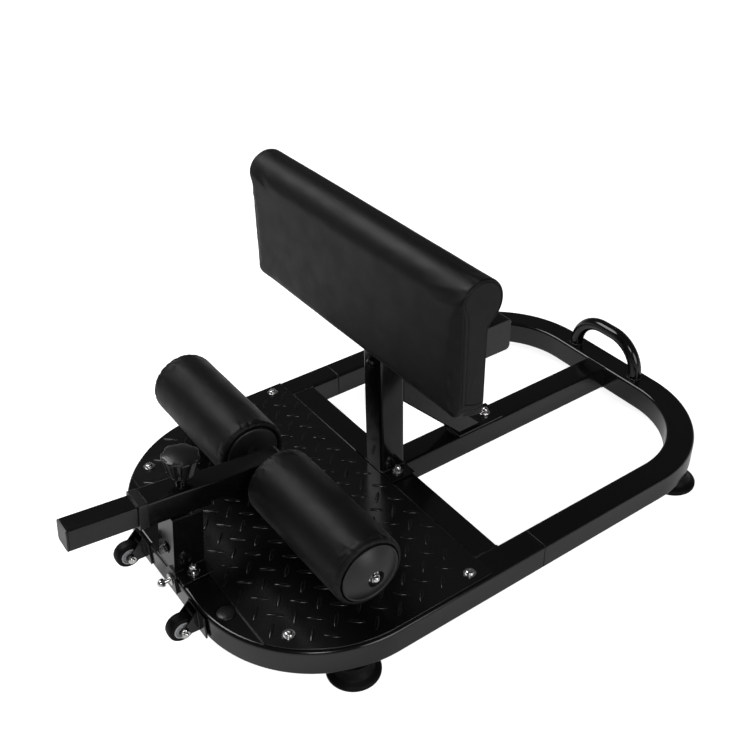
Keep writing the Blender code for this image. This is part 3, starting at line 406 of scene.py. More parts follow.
def mesh_from(bm, smooth=True, sharp_angle=40.0, mesh=None):
    """Merges doubles, turns the faces outward and shades them smooth between sharp edges."""
    bmesh.ops.remove_doubles(bm, verts=bm.verts, dist=1e-6)
    bmesh.ops.recalc_face_normals(bm, faces=bm.faces)
    for face in bm.faces:
        face.smooth = smooth
    for edge in bm.edges:
        edge.smooth = edge.calc_face_angle(0.0) < math.radians(sharp_angle)
    mesh = mesh or bpy.data.meshes.new("piece")
    bm.to_mesh(mesh)
    bm.free()
    return mesh


def smooth_edges(mesh, sharp_angle=40.0):
    bm = bmesh.new()
    bm.from_mesh(mesh)
    return mesh_from(bm, True, sharp_angle, mesh)


def soft_profile(points, radius, steps=3, closed=True):
    """Rounds the corners of a profile, each by no more than its two sides allow."""
    rounded = []
    count = len(points)
    for k, (x, y) in enumerate(points):
        if not closed and k in (0, count - 1):
            rounded.append((x, y))
            continue
        here = Vector((x, y))
        back, ahead = Vector(points[k - 1]) - here, Vector(points[(k + 1) % count]) - here
        reach = min(radius, back.length * 0.45, ahead.length * 0.45)
        start, end = here + back.normalized() * reach, here + ahead.normalized() * reach
        for n in range(steps + 1):
            t = n / steps
            rounded.append(tuple(start * (1 - t) ** 2 + here * 2 * t * (1 - t) + end * t ** 2))
    return rounded


def spin_profile(profile, steps=64, closed=True):
    """A skin spun about Z from (radius, height) points."""
    bm = bmesh.new()
    rows = []
    for radius, height in profile:
        if radius < 1e-7:
            rows.append([bm.verts.new((0, 0, height))] * steps)
            continue
        angles = (math.tau * k / steps for k in range(steps))
        rows.append([bm.verts.new((radius * math.cos(a), radius * math.sin(a), height)) for a in angles])
    pairs = list(zip(rows, rows[1:]))
    if closed:
        pairs.append((rows[-1], rows[0]))
    for lower, upper in pairs:
        for k in range(steps):
            n = (k + 1) % steps
            corners = list(dict.fromkeys((lower[k], lower[n], upper[n], upper[k])))
            if len(corners) > 2:
                bm.faces.new(corners)
    return bm


def aim_matrix(place, direction):
    """Carries Z to a direction at a place."""
    turn = UP.rotation_difference(Vector(direction)).to_matrix().to_4x4()
    return Matrix.Translation(place) @ turn


def turned_mesh(profile, place, direction, radius=0.0008, steps=64, closed=True, sharp=40.0):
    bm = spin_profile(soft_profile(profile, radius, 3, closed), steps, closed)
    bm.transform(aim_matrix(place, direction))
    return mesh_from(bm, sharp_angle=sharp)


# %% [markdown]
# ## Geometry Nodes that keep their result
# Each tree has named inputs. They are set on the modifier by the identifier of the socket, the tree
# runs once, and the piece keeps the plain mesh that comes out, so nothing is left to evaluate.

# %% Running a tree once
def finish_tree(tree, geometry, inputs, output, smooth=False):
    """The last steps of each tree that grows a piece: realize, shade, set the material."""
    whole = out_of(tree, "GeometryNodeRealizeInstances", {"Geometry": geometry})
    if smooth:
        whole = out_of(tree, "GeometryNodeSetShadeSmooth", {"Geometry": whole, "Shade Smooth": True})
    painted = out_of(tree, "GeometryNodeSetMaterial", {"Geometry": whole, "Material": inputs["Material"]})
    tree.links.new(painted, output.inputs[0])
    return tree


def scatter(tree, inputs, output, smooth=False, **sockets):
    """Ends a tree with one form on each of its points."""
    placed = out_of(tree, "GeometryNodeInstanceOnPoints", sockets)
    return finish_tree(tree, placed, inputs, output, smooth)


def form_of(tree, item):
    return out_of(tree, "GeometryNodeObjectInfo", {"Object": item}, "Geometry")


def point_rotation(tree):
    """The angles that points_mesh stores on each point, and the same as a rotation."""
    angles = out_of(tree, "GeometryNodeInputNamedAttribute", {"Name": "rotation"}, data_type="FLOAT_VECTOR")
    return angles, out_of(tree, "FunctionNodeEulerToRotation", {"Euler": angles})


def grow(name, source, tree, values, material, body, slot, *replaced):
    host = new_object(name + "_source", source)
    modifier = host.modifiers.new("grow", "NODES")
    modifier.node_group = tree
    values = {**values, "Material": material}
    for item in tree.interface.items_tree:
        if item.item_type == "SOCKET" and item.in_out == "INPUT" and item.name in values:
            modifier[item.identifier] = values[item.name]
    grown = evaluated_mesh(host)
    host.modifiers.remove(modifier)
    bpy.data.objects.remove(host)
    print(name, len(grown.polygons), "faces")
    return link_piece(name, grown, material, body, slot, *replaced)


def points_mesh(places, aims=None, turns=None):
    """Loose points, each with the direction that a form on it points to and its turn about that."""
    mesh = bpy.data.meshes.new("points")
    mesh.from_pydata([tuple(p) for p in places], [], [])
    rotations = mesh.attributes.new("rotation", "FLOAT_VECTOR", "POINT")
    for k in range(len(places)):
        aim = Vector(aims[k]) if aims else UP
        spin = Matrix.Rotation(turns[k] if turns else 0.0, 3, "Z")
        turn = UP.rotation_difference(aim).to_matrix() @ spin
        rotations.data[k].vector = turn.to_euler()
    return mesh


def paths_mesh(paths, closed=False, longest=math.inf):
    """Polylines for a tree that follows paths, without the steps longer than the longest."""
    places, edges = [], []
    for path in paths:
        first, count = len(places), len(path)
        places += [tuple(p) for p in path]
        for k in range(count if closed else count - 1):
            n = (k + 1) % count
            if (Vector(path[k]) - Vector(path[n])).length < longest:
                edges.append((first + k, first + n))
    mesh = bpy.data.meshes.new("paths")
    mesh.from_pydata(places, edges, [])
    return mesh


# %% [markdown]
# ## The base ring and the handle
# The ring is one square tube bent round four corners and cut in two across its side rails. A profile
# swept along the middle line is how the tube really is: the section never changes, only its path. The
# same tree with a round section bends the carry handle.

# %% A tree that sweeps a tube along a path
def tube_tree():
    tree, inputs, output = new_group(
        "Bent Tube", "GeometryNodeTree",
        [("Path", GEOMETRY, None), ("Width", FLOAT, 0.05), ("Corner Radius", FLOAT, 0.006),
         ("Corner Steps", "NodeSocketInt", 6), MATERIAL],
        [("Tube", GEOMETRY)],
    )
    path = out_of(tree, "GeometryNodeMeshToCurve", {"Mesh": inputs["Path"]})
    width = inputs["Width"]
    square = out_of(tree, "GeometryNodeCurvePrimitiveQuadrilateral", {"Width": width, "Height": width})
    section = out_of(
        tree, "GeometryNodeFilletCurve",
        {"Curve": square, "Radius": inputs["Corner Radius"], "Count": inputs["Corner Steps"],
         "Limit Radius": True}, mode="POLY",
    )
    tube = {"Curve": path, "Profile Curve": section, "Fill Caps": True}
    swept = out_of(tree, "GeometryNodeCurveToMesh", tube)
    return finish_tree(tree, swept, inputs, output)


TUBE_EDGE, SOLID_EDGE, SHEET_EDGE = 0.0011, 0.0005, 0.0006


def break_edges(piece, width, angle=50.0):
    """Breaks the sharp edges of a piece and lets the large faces keep their own normals."""
    bevel = piece.modifiers.new("broken edges", "BEVEL")
    bevel.width = width
    bevel.segments = 2
    bevel.limit_method = "ANGLE"
    bevel.angle_limit = math.radians(angle)
    weighted = piece.modifiers.new("flat faces stay flat", "WEIGHTED_NORMAL")
    weighted.keep_sharp = True


BENT_TUBE = tube_tree()
print("tree", BENT_TUBE.name, "with", len(BENT_TUBE.nodes), "nodes")

# %% The two halves of the ring
SEAM_Y = 0.514
RING_WIDTH, RING_LENGTH, CROSS_Y = 0.650, 1.011, 0.405
FRONT_CORNER, REAR_CORNER = 0.222, 0.2135
HALF_RAIL = (RING_WIDTH - TUBE) / 2
RING_MIDDLE = (RING_TOP + RING_LOW) / 2


def quarter_bends(half_width, radius, steps):
    """(across, ahead) points of two quarter bends, from the left leg over to the right one."""
    places = []
    for side in (-1, 1):
        for k in range(steps + 1):
            angle = math.radians(90 * (k if side < 0 else steps - k) / steps)
            places.append((side * (half_width - radius + radius * math.cos(angle)), radius * math.sin(angle)))
    return places


def ring_path(front):
    """The middle line of half the ring, from the left joint round to the right one."""
    corner, away = (FRONT_CORNER, -1) if front else (REAR_CORNER, 1)
    centre_y = corner if front else RING_LENGTH - corner
    seam = SEAM_Y + away * GAP / 2
    bends = [(x, centre_y + away * ahead) for x, ahead in quarter_bends(HALF_RAIL, corner - TUBE / 2, 30)]
    places = [(-HALF_RAIL, seam), *bends, (HALF_RAIL, seam)]
    return paths_mesh([[floor_place(x, y, RING_MIDDLE) for x, y in places]])


sizes = {"Width": TUBE, "Corner Radius": 0.0062, "Corner Steps": 6}
for half in ("front", "rear"):
    path = ring_path(half == "front")
    ring = grow(f"ring_{half}", path, BENT_TUBE, sizes, PAINT, "base", "paint", f"{half}_ring_tube")
    smooth_edges(ring.data)
    break_edges(ring, TUBE_EDGE)

# %% The carry handle
HANDLE_SPAN, HANDLE_RISE, HANDLE_BEND, HANDLE_TUBE = 0.160, 0.0685, 0.066, 0.0254


def handle_path():
    y, foot = RING_LENGTH - TUBE / 2, RING_TOP + GAP
    base = RING_TOP + HANDLE_RISE - HANDLE_BEND
    bow = [(x, base + ahead) for x, ahead in quarter_bends(HANDLE_SPAN / 2, HANDLE_BEND, 16)]
    places = [(-HANDLE_SPAN / 2, foot), *bow, (HANDLE_SPAN / 2, foot)]
    return paths_mesh([[floor_place(x, y, z) for x, z in places]])


sizes = {"Width": HANDLE_TUBE, "Corner Radius": HANDLE_TUBE / 2, "Corner Steps": 8}
handle = grow("handle_bow", handle_path(), BENT_TUBE, sizes, PAINT, "base", "paint", "carry_handle")
smooth_edges(handle.data)
print("handle is", round(handle.dimensions.y * 1000, 1), "mm thick")

# %% [markdown]
# ## The solids that stay
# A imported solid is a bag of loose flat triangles. A small tree on a live modifier merges them and
# shades them smooth, a Bevel breaks the sharp edges, and Weighted Normal keeps large faces flat, all
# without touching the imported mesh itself.

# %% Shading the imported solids
def shading_tree():
    tree, inputs, output = new_group(
        "Merge And Shade", "GeometryNodeTree",
        [("Solid", GEOMETRY, None), ("Distance", FLOAT, 0.00001), ("Sharp Angle", FLOAT, 0.6)],
        [("Shaded", GEOMETRY)],
    )
    solid = {"Geometry": inputs["Solid"], "Distance": inputs["Distance"]}
    merged = {"Geometry": out_of(tree, "GeometryNodeMergeByDistance", solid), "Shade Smooth": True}
    smooth = out_of(tree, "GeometryNodeSetShadeSmooth", merged, domain="FACE")
    angle = out_of(tree, "GeometryNodeInputMeshEdgeAngle", socket="Unsigned Angle")
    gentle = out_of(tree, "FunctionNodeCompare", {0: angle, 1: inputs["Sharp Angle"]}, operation="LESS_THAN")
    crease_shaded = {"Geometry": smooth, "Shade Smooth": gentle}
    shaded = out_of(tree, "GeometryNodeSetShadeSmooth", crease_shaded, domain="EDGE")
    tree.links.new(shaded, output.inputs["Shaded"])
    return tree


MERGE_AND_SHADE = shading_tree()


def dress(node, material):
    """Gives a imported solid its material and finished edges."""
    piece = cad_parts[node]
    piece.data.materials.clear()
    piece.data.materials.append(material)
    modifier = piece.modifiers.new("merge and shade", "NODES")
    modifier.node_group = MERGE_AND_SHADE
    if node != "roller_shaft":
        break_edges(piece, SOLID_EDGE, 60.0)


DRESSED = {
    PAINT: "cross_beam centre_rail platform_rail joint_spigot_left joint_spigot_right post brace pad_tube "
           "saddle_bracket clamp_sleeve roller_tube wheel_fork_left wheel_fork_right",
    PLASTIC: "sleeve_collar roller_tube_cap_front roller_tube_cap_rear pad_tube_cap_left pad_tube_cap_right",
    PLYWOOD: "pad_board",
    STEEL: "roller_shaft",
}
for material, names in DRESSED.items():
    for node in names.split():
        dress(node, material)
print("dressed", sum(len(names.split()) for names in DRESSED.values()), "packed solids")

# %% [markdown]
# ## Screws and nuts
# Every bolt ends in the same domed nut, and the tread plate is held by four socket screws. A real
# maker uses one part many times, so one form is modelled well and a tree places it on points. Each
# point carries the rotation of its form.

# %% A tree that places one form on points
def place_tree():
    tree, inputs, output = new_group(
        "Place Forms", "GeometryNodeTree",
        [("Points", GEOMETRY, None), ("Form", "NodeSocketObject", None), ("Size", FLOAT, 1.0), MATERIAL],
        [("Forms", GEOMETRY)],
    )
    return scatter(
        tree, inputs, output, Points=inputs["Points"], Instance=form_of(tree, inputs["Form"]),
        Rotation=point_rotation(tree)[1], Scale=inputs["Size"],
    )


PLACE_FORMS = place_tree()
spin_order = random.Random(7)


def place_forms(name, form_mesh, places, aims, material, body, slot, *replaced):
    form = new_object("form", form_mesh)
    turns = [spin_order.uniform(0, math.tau) for _ in places]
    values = {"Form": form, "Size": 1.0}
    piece = grow(name, points_mesh(places, aims, turns), PLACE_FORMS, values, material, body, slot, *replaced)
    bpy.data.objects.remove(form)
    return piece


# %% [markdown]
# A hexagon that turns into a circle is a loft: each level is a ring of the same number of points,
# pulled towards the flats by the share that the level asks for. The chamfer on a nut's corners comes
# from a round level just above the hexagonal ones.

# %% The domed nut on its washer, and the socket screw
SHANK, WASHER, WASHER_THICK, HEX, HEX_HEIGHT = 0.004, 0.010, 0.0016, 0.0075, 0.0055


def hex_ring(radius, height, share, count=48):
    """Points of a circle of that corner radius, flattened towards a hexagon by the share."""
    ring = []
    for k in range(count):
        angle = math.tau * k / count
        off = (angle + math.pi / 6) % (math.pi / 3) - math.pi / 6
        flat = radius * math.cos(math.pi / 6) / math.cos(math.pi / 6 - abs(off))
        reach = radius + (flat - radius) * share
        ring.append((reach * math.cos(angle), reach * math.sin(angle), height))
    return ring


def loft_rings(rings, sharp=40.0):
    bm = bmesh.new()
    rows = [[bm.verts.new(point) for point in ring] for ring in rings]
    count = len(rows[0])
    for lower, upper in zip(rows, rows[1:]):
        for k in range(count):
            n = (k + 1) % count
            bm.faces.new((lower[k], lower[n], upper[n], upper[k]))
    for row in (rows[0], rows[-1]):
        centre = bm.verts.new(sum((v.co for v in row), Vector()) / count)
        for k in range(count):
            bm.faces.new((centre, row[k], row[(k + 1) % count]))
    return mesh_from(bm, sharp_angle=sharp)


NUT_SHARP, ROUND_SHARP = 32.0, 60.0  # degrees between faces above which an edge stays sharp


def hex_loft(levels):
    """A loft from (corner radius, height, share of hexagon) levels."""
    return loft_rings([hex_ring(*level) for level in levels], NUT_SHARP)


def washer_levels(shank):
    return [
        (SHANK, -shank, 0), (SHANK, 0, 0), (WASHER - 0.0004, 0, 0), (WASHER, 0.0003, 0),
        (WASHER, WASHER_THICK - 0.0004, 0), (WASHER - 0.0005, WASHER_THICK, 0),
    ]


def domed_nut(thread=0.0):
    base = WASHER_THICK + thread + GAP
    top = base + HEX_HEIGHT
    levels = washer_levels(0.004) + [
        (SHANK, WASHER_THICK, 0), (SHANK, base, 0),
        (HEX * 0.90, base, 0.2), (HEX, base + 0.0005, 1), (HEX, top - 0.0006, 1),
        (HEX * 0.91, top, 0.1), (HEX * 0.80, top, 0),
    ]
    for k in range(1, 7):
        angle = math.radians(15 * k)
        levels.append((max(HEX * 0.78 * math.cos(angle), 0.0002), top + HEX * 0.72 * math.sin(angle), 0))
    return hex_loft(levels)


def socket_screw():
    """A button head with a hexagon socket on a washer."""
    head = WASHER_THICK
    return hex_loft(washer_levels(0.012) + [
        (HEX, head, 0), (HEX, head + 0.0006, 0),
        (HEX * 0.94, head + 0.0022, 0), (HEX * 0.76, head + 0.0036, 0), (HEX * 0.52, head + 0.0043, 0),
        (HEX * 0.40, head + 0.0043, 1), (HEX * 0.38, head + 0.0040, 1), (HEX * 0.36, head + 0.0016, 1),
    ])


# %% Bolts at their places
def middle_of(node):
    low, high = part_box(node)
    return (low + high) / 2


def places_over(nodes, height):
    """The middle of each solid seen from above, at a height."""
    return [Vector((*middle_of(node).xy, height)) for node in nodes]


def seat_of(node, outward):
    """The middle of the end that a solid has towards an axis direction."""
    low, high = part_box(node)
    reach = [o * size / 2 for o, size in zip(outward, high - low)]
    return (low + high) / 2 + Vector(reach)


DOME_TOP = WASHER_THICK + GAP + 2 * HEX_HEIGHT
plate_screws = [f"plate_screw_{row}_{side}" for row in ("front", "rear") for side in ("left", "right")]
plate_low, plate_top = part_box("tread_plate")[0].z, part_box("tread_plate")[1].z
screw_places = places_over(plate_screws, plate_top + GAP)
place_forms("plate_screws", socket_screw(), screw_places, [UP] * 4, ZINC, "base", "chrome", *plate_screws)

NUTS = {
    "saddle_nuts": (UP, 0.004, ["saddle_bolt_left", "saddle_bolt_right"]),
    "foot_plate_nuts": (UP, 0.0, ["post_bolt_left", "post_bolt_right", "brace_bolt"]),
    "lug_nut": (-Y, 0.009, ["lug_bolt"]),
    "pad_nuts": (Y, 0.0, ["pad_bolt_left", "pad_bolt_right"]),
}
for name, (outward, thread, nodes) in NUTS.items():
    places = [seat_of(node, outward) - outward * (DOME_TOP + thread) for node in nodes]
    place_forms(name, domed_nut(thread), places, [outward] * len(nodes), ZINC, "base", "chrome", *nodes)

# %% Two black screws, on the post and on the saddle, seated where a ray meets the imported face
BLACK_SCREWS = {"post": 0.305, "saddle_bracket": 0.116}  # heights above the floor
black_seats = []
for node, height in BLACK_SCREWS.items():
    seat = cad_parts[node].ray_cast(floor_place(0, -0.4, height), Y)[1]
    print("black screw on", node, [round(v, 4) for v in seat])
    black_seats.append(seat - Y * GAP)
place_forms("black_screws", socket_screw(), black_seats, [-Y] * 2, PAINT, "base", "paint")

# %% [markdown]
# ## The tread plate
# The plate is cut from sheet: straight at the front and rear, and round at the sides, a little inside
# the ring's outer edge. It laps over the front tube, with a notch for the bracket that stands there.

# %% The sheet
PLATE_FRONT, PLATE_INSET, NOTCH_X, NOTCH_Y = 0.0455, 0.005, 0.0588, 0.0548


def plate_outline(steps=48):
    centre_x, reach = RING_WIDTH / 2 - FRONT_CORNER, FRONT_CORNER - PLATE_INSET
    last = math.acos((FRONT_CORNER - PLATE_FRONT) / reach)
    half = [(centre_x + reach, CROSS_Y - 0.0005)]
    for k in range(steps + 1):
        angle = math.pi / 2 + (last - math.pi / 2) * k / steps
        half.append((centre_x + reach * math.sin(angle), FRONT_CORNER - reach * math.cos(angle)))
    half += [(NOTCH_X, PLATE_FRONT), (NOTCH_X, NOTCH_Y)]
    return half + [(-x, y) for x, y in reversed(half)]


def sheet_mesh(outline, low, high):
    bm = bmesh.new()
    face = bm.faces.new([bm.verts.new(floor_place(x, y, low)) for x, y in outline])
    grown = bmesh.ops.extrude_face_region(bm, geom=[face])["geom"]
    raised = [item for item in grown if isinstance(item, bmesh.types.BMVert)]
    bmesh.ops.translate(bm, vec=(0, 0, high - low), verts=raised)
    return mesh_from(bm)


sheet = sheet_mesh(plate_outline(), plate_low, plate_top)
plate = link_piece("plate", sheet, TREAD_PAINT, "base", "paint", "tread_plate")
break_edges(plate, SHEET_EDGE)

# %% [markdown]
# ## Raised bars of the tread plate
# The plate is rolled with short lens-shaped bars in two crossing directions. They sit on a turned
# grid: every other point holds a bar of the other direction. The tree makes the grid, throws away the
# points where a bar would miss the plate, and lays one domed bar on each that is left.

# %% A tree for the tread pattern
BAR_LENGTH, BAR_WIDTH, BAR_HEIGHT = 0.0325, 0.0062, 0.0016
BAR_PITCH, BAR_ANGLE = 0.0306, math.radians(48.0)
BAR_CLEAR = 0.55  # how far from its middle a bar needs the plate under it, in bar lengths


def lens_bar(steps=10):
    """A bar with pointed ends and a rounded back, sunk a hair into the plate."""
    rings = []
    for k in range(1, steps):
        t = -1 + 2 * k / steps
        half = BAR_WIDTH / 2 * (1 - abs(t) ** 2.2) + 0.0002
        height = BAR_HEIGHT * (1 - abs(t) ** 3.2) + 0.0001
        section = []
        for n in range(7):
            angle = math.pi * n / 6
            back = height * math.sin(angle) ** 0.7 - 0.0001
            section.append((t * BAR_LENGTH / 2, half * math.cos(angle), back))
        rings.append(section)
    return loft_rings(rings, ROUND_SHARP)


def tread_tree():
    tree, inputs, output = new_group(
        "Tread Bars", "GeometryNodeTree",
        [("Grid", GEOMETRY, None), ("Bar", "NodeSocketObject", None), ("Plate", "NodeSocketObject", None),
         ("Length", FLOAT, BAR_LENGTH), MATERIAL],
        [("Bars", GEOMETRY)],
    )
    plate = form_of(tree, inputs["Plate"])
    place = out_of(tree, "GeometryNodeInputPosition")
    angles, rotation = point_rotation(tree)
    kept = None
    for share in (-BAR_CLEAR, 0.0, BAR_CLEAR):
        reach = math_node(tree, "MULTIPLY", inputs["Length"], share)
        along = out_of(tree, "ShaderNodeCombineXYZ", {0: reach})
        turned = out_of(
            tree, "ShaderNodeVectorRotate", {"Vector": along, "Rotation": angles}, rotation_type="EULER_XYZ"
        )
        tip = out_of(tree, "ShaderNodeVectorMath", {0: place, 1: turned}, operation="ADD")
        hit = out_of(
            tree, "GeometryNodeRaycast",
            {"Target Geometry": plate, "Source Position": tip, "Ray Direction": (0, 0, -1),
             "Ray Length": 0.05}, socket="Is Hit",
        )
        kept = out_of(tree, "FunctionNodeBooleanMath", {0: kept, 1: hit}, operation="AND") if kept else hit
    return scatter(
        tree, inputs, output, Points=inputs["Grid"], Selection=kept, Instance=form_of(tree, inputs["Bar"]),
        Rotation=rotation,
    )


# %% Laying the bars
FIRST_BAR = (0.064, 0.080)
GRID_REACH, SCREW_CLEAR = 16, 0.024


def bar_grid():
    """Turned grid points above the plate, away from the screws, with a bar direction for each."""
    places, aims = [], []
    along = Vector((math.cos(BAR_ANGLE), math.sin(BAR_ANGLE), 0))
    across = Vector((-math.sin(BAR_ANGLE), math.cos(BAR_ANGLE), 0))
    start = floor_place(*FIRST_BAR, plate_top)
    for i in range(-GRID_REACH, GRID_REACH + 1):
        for j in range(-GRID_REACH, GRID_REACH + 1):
            place = start + along * BAR_PITCH * i + across * BAR_PITCH * j
            if min((place - screw).length for screw in screw_places) > SCREW_CLEAR:
                places.append(place)
                aims.append(BAR_ANGLE + (math.pi / 2 if (i + j) % 2 else 0.0))
    mesh = points_mesh(places)
    for k, angle in enumerate(aims):
        mesh.attributes["rotation"].data[k].vector = (0, 0, angle)
    return mesh


bar = new_object("bar", lens_bar())
values = {"Bar": bar, "Plate": plate, "Length": BAR_LENGTH}
grow("tread_bars", bar_grid(), tread_tree(), values, TREAD_PAINT, "base", "paint")
bpy.data.objects.remove(bar)

# %% [markdown]
# ## Weld beads
# Where two tubes meet there is a bead of weld under the paint: a row of flat overlapping scales. The
# tree walks along a path, drops a flattened ball at even steps, and varies their size a little from a
# fixed seed, as a hand weld does.

# %% A tree for weld beads
def weld_bead_tree():
    tree, inputs, output = new_group(
        "Weld Bead", "GeometryNodeTree",
        [("Path", GEOMETRY, None), ("Step", FLOAT, 0.0022), ("Radius", FLOAT, 0.0024),
         ("Seed", "NodeSocketInt", 3), MATERIAL],
        [("Bead", GEOMETRY)],
    )
    path = out_of(tree, "GeometryNodeMeshToCurve", {"Mesh": inputs["Path"]})
    walk = {"Curve": path, "Length": inputs["Step"]}
    scales = out_of(tree, "GeometryNodeCurveToPoints", walk, mode="LENGTH")
    ball = out_of(tree, "GeometryNodeMeshUVSphere", {"Segments": 10, "Rings": 6, "Radius": inputs["Radius"]})
    low = out_of(tree, "ShaderNodeCombineXYZ", {0: 0.80, 1: 0.80, 2: 0.62})
    high = out_of(tree, "ShaderNodeCombineXYZ", {0: 1.12, 1: 1.12, 2: 0.80})
    uneven = {0: low, 1: high, "Seed": inputs["Seed"]}
    size = out_of(tree, "FunctionNodeRandomValue", uneven, data_type="FLOAT_VECTOR")
    return scatter(tree, inputs, output, True, Points=scales, Instance=ball, Scale=size)


# %% Where the frame is welded
DEEP, POST_PLATE = 0.0006, 0.0053
SQUARE_FOOT = TUBE - 0.004


def square_path(centre, across, up, width):
    """Corners of the square round a tube's foot."""
    corners = ((-1, -1), (1, -1), (1, 1), (-1, 1))
    return [centre + across * (sx * width / 2) + up * (sy * width / 2) for sx, sy in corners]


def circle_path(centre, radius, count=20):
    angles = (math.tau * k / count for k in range(count))
    return [centre + Vector((radius * math.cos(a), radius * math.sin(a), 0)) for a in angles]


beads = []
for side in (-1, 1):
    rail_foot = floor_place(side * (RING_WIDTH / 2 - TUBE + DEEP), CROSS_Y + TUBE / 2, RING_MIDDLE)
    bow_foot = floor_place(side * HANDLE_SPAN / 2, RING_LENGTH - TUBE / 2, RING_TOP - DEEP)
    beads += [square_path(rail_foot, Y, UP, SQUARE_FOOT), circle_path(bow_foot, HANDLE_TUBE / 2)]
for y in (CROSS_Y + TUBE - DEEP, RING_LENGTH - TUBE + DEEP):
    beads.append(square_path(floor_place(0, y, RING_MIDDLE), X, UP, SQUARE_FOOT))
post_foot = floor_place(0, CROSS_Y + TUBE / 2, RING_TOP + POST_PLATE - DEEP)
beads.append(square_path(post_foot, X, Y, TUBE - 0.001))
sizes = {"Step": 0.0022, "Radius": 0.0023, "Seed": 3}
grow("weld_beads", paths_mesh(beads, closed=True), weld_bead_tree(), sizes, PAINT, "base", "paint")

# %% [markdown]
# ## Turned pieces: wheels, feet, plugs and caps
# These are all profiles spun about an axis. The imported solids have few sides, which suits a physics
# model. The pieces here have many, and corners broken with small arcs that catch the light.

# %% Wheels
WHEEL_RADIUS, WHEEL_HALF, HUB_RADIUS, AXLE_HOLE, BOSS_RADIUS = 0.0225, 0.011, 0.0145, 0.0043, 0.0072


def mirrored(half):
    """A profile from the half below its middle."""
    return half + [(radius, -height) for radius, height in reversed(half) if height]


rim, boss, dish = HUB_RADIUS - 0.0022, WHEEL_HALF + 0.0009, WHEEL_HALF - 0.0035
tyre_profile = mirrored([
    (HUB_RADIUS + GAP, -WHEEL_HALF), (WHEEL_RADIUS - 0.0035, -WHEEL_HALF),
    (WHEEL_RADIUS - 0.0007, -WHEEL_HALF * 0.72), (WHEEL_RADIUS, 0),
])
hub_profile = mirrored([
    (AXLE_HOLE, -boss), (BOSS_RADIUS, -boss), (BOSS_RADIUS, -dish), (rim, -dish),
    (rim, -WHEEL_HALF + 0.0002), (HUB_RADIUS, -WHEEL_HALF + 0.0002),
])
for side_name in ("right", "left"):
    place = middle_of(f"wheel_tyre_{side_name}")
    body = f"wheel_{side_name}"
    mesh = turned_mesh(tyre_profile, place, X, 0.0016, 80)
    link_piece(f"tyre_{side_name}", mesh, RUBBER, body, "rubber", f"wheel_tyre_{side_name}")
    mesh = turned_mesh(hub_profile, place, X, 0.0004, 64)
    link_piece(f"hub_{side_name}", mesh, NYLON, body, "nylon", f"wheel_hub_{side_name}")
print("wheels", WHEEL_RADIUS * 2, "m across")

# %% [markdown]
# The axle is a bolt through both ears of the fork, with a hexagon head on one side and a plain nut
# with a little thread showing on the other. It stands still while the wheel turns on it.

# %% Wheel axles
def hex_bolt(length, thread=0.003):
    """A bolt along Z: head below the grip, nut above it."""
    top = length + HEX_HEIGHT
    levels = [
        (HEX * 0.90, -HEX_HEIGHT, 0.1), (HEX, -HEX_HEIGHT + 0.0006, 1), (HEX, -0.0005, 1),
        (HEX * 0.92, 0, 0.2),
        (SHANK, 0, 0), (SHANK, length, 0), (HEX * 0.92, length, 0.2), (HEX, length + 0.0005, 1),
        (HEX, top - 0.0005, 1), (HEX * 0.90, top, 0.1), (SHANK, top, 0),
    ]
    for k in range(1, 5):
        levels.append((SHANK * (0.86 if k % 2 else 1.0), top + thread * k / 5, 0))
    levels.append((SHANK * 0.8, top + thread, 0))
    return hex_loft(levels)


EAR_ROOM, EAR_THICK = 0.0015, 0.003
axles = ["wheel_axle_right", "wheel_axle_left"]
ear = WHEEL_HALF + EAR_ROOM + EAR_THICK + GAP
places = [middle_of(f"wheel_tyre_{side}") - X * ear for side in ("right", "left")]
place_forms("wheel_axles", hex_bolt(2 * ear), places, [X, X], ZINC, "base", "chrome", *axles)

# %% Rubber feet, placed by the same tree as the screws
FOOT_HEIGHT, FOOT_RADIUS = 0.0277, 0.043
foot_profile = [
    (0, 0.003), (0.021, 0.003), (0.0235, 0.0), (FOOT_RADIUS - 0.001, 0.0), (FOOT_RADIUS, 0.0015),
    (FOOT_RADIUS, 0.0062), (FOOT_RADIUS * 0.93, 0.0085), (0.033, 0.0125), (0.0268, 0.0215),
    (0.0262, 0.0255), (0.0240, FOOT_HEIGHT), (0, FOOT_HEIGHT),
]
feet = [f"foot_{row}_{side}" for row in ("front", "rear") for side in ("left", "right")]
foot_form = turned_mesh(foot_profile, Vector(), UP, 0.0016, 72, closed=False)
place_forms("rubber_feet", foot_form, places_over(feet, 0), [UP] * 4, RUBBER, "base", "rubber", *feet)

# %% Domed plugs in the front tube
PLUG = 0.0145
plug_profile = [
    (0, -0.004), (0.0072, -0.004), (0.0072, 0.0), (PLUG - 0.0004, 0.0), (PLUG, 0.0004), (PLUG, 0.0012),
    (PLUG * 0.90, 0.0023), (PLUG * 0.6, 0.0031), (PLUG * 0.3, 0.0034), (0, 0.0035),
]
plugs = ["tube_plug_left", "tube_plug_right"]
plug_form = turned_mesh(plug_profile, Vector(), UP, 0.0005, 64, closed=False)
places = places_over(plugs, RING_TOP + GAP)
place_forms("tube_plugs", plug_form, places, [UP] * 2, PLASTIC, "base", "plastic", *plugs)

# %% [markdown]
# Each roller turns on the cross shaft with a plastic spool inside the foam. Outside, a domed cap
# closes the end: it stands a little proud of the vinyl, with a thin lip and a well for the bolt. The
# spool's flange fills the inner end. The pair hangs about a centimetre to the left on its shaft, so
# the left roller starts farther from the tube than the right one.

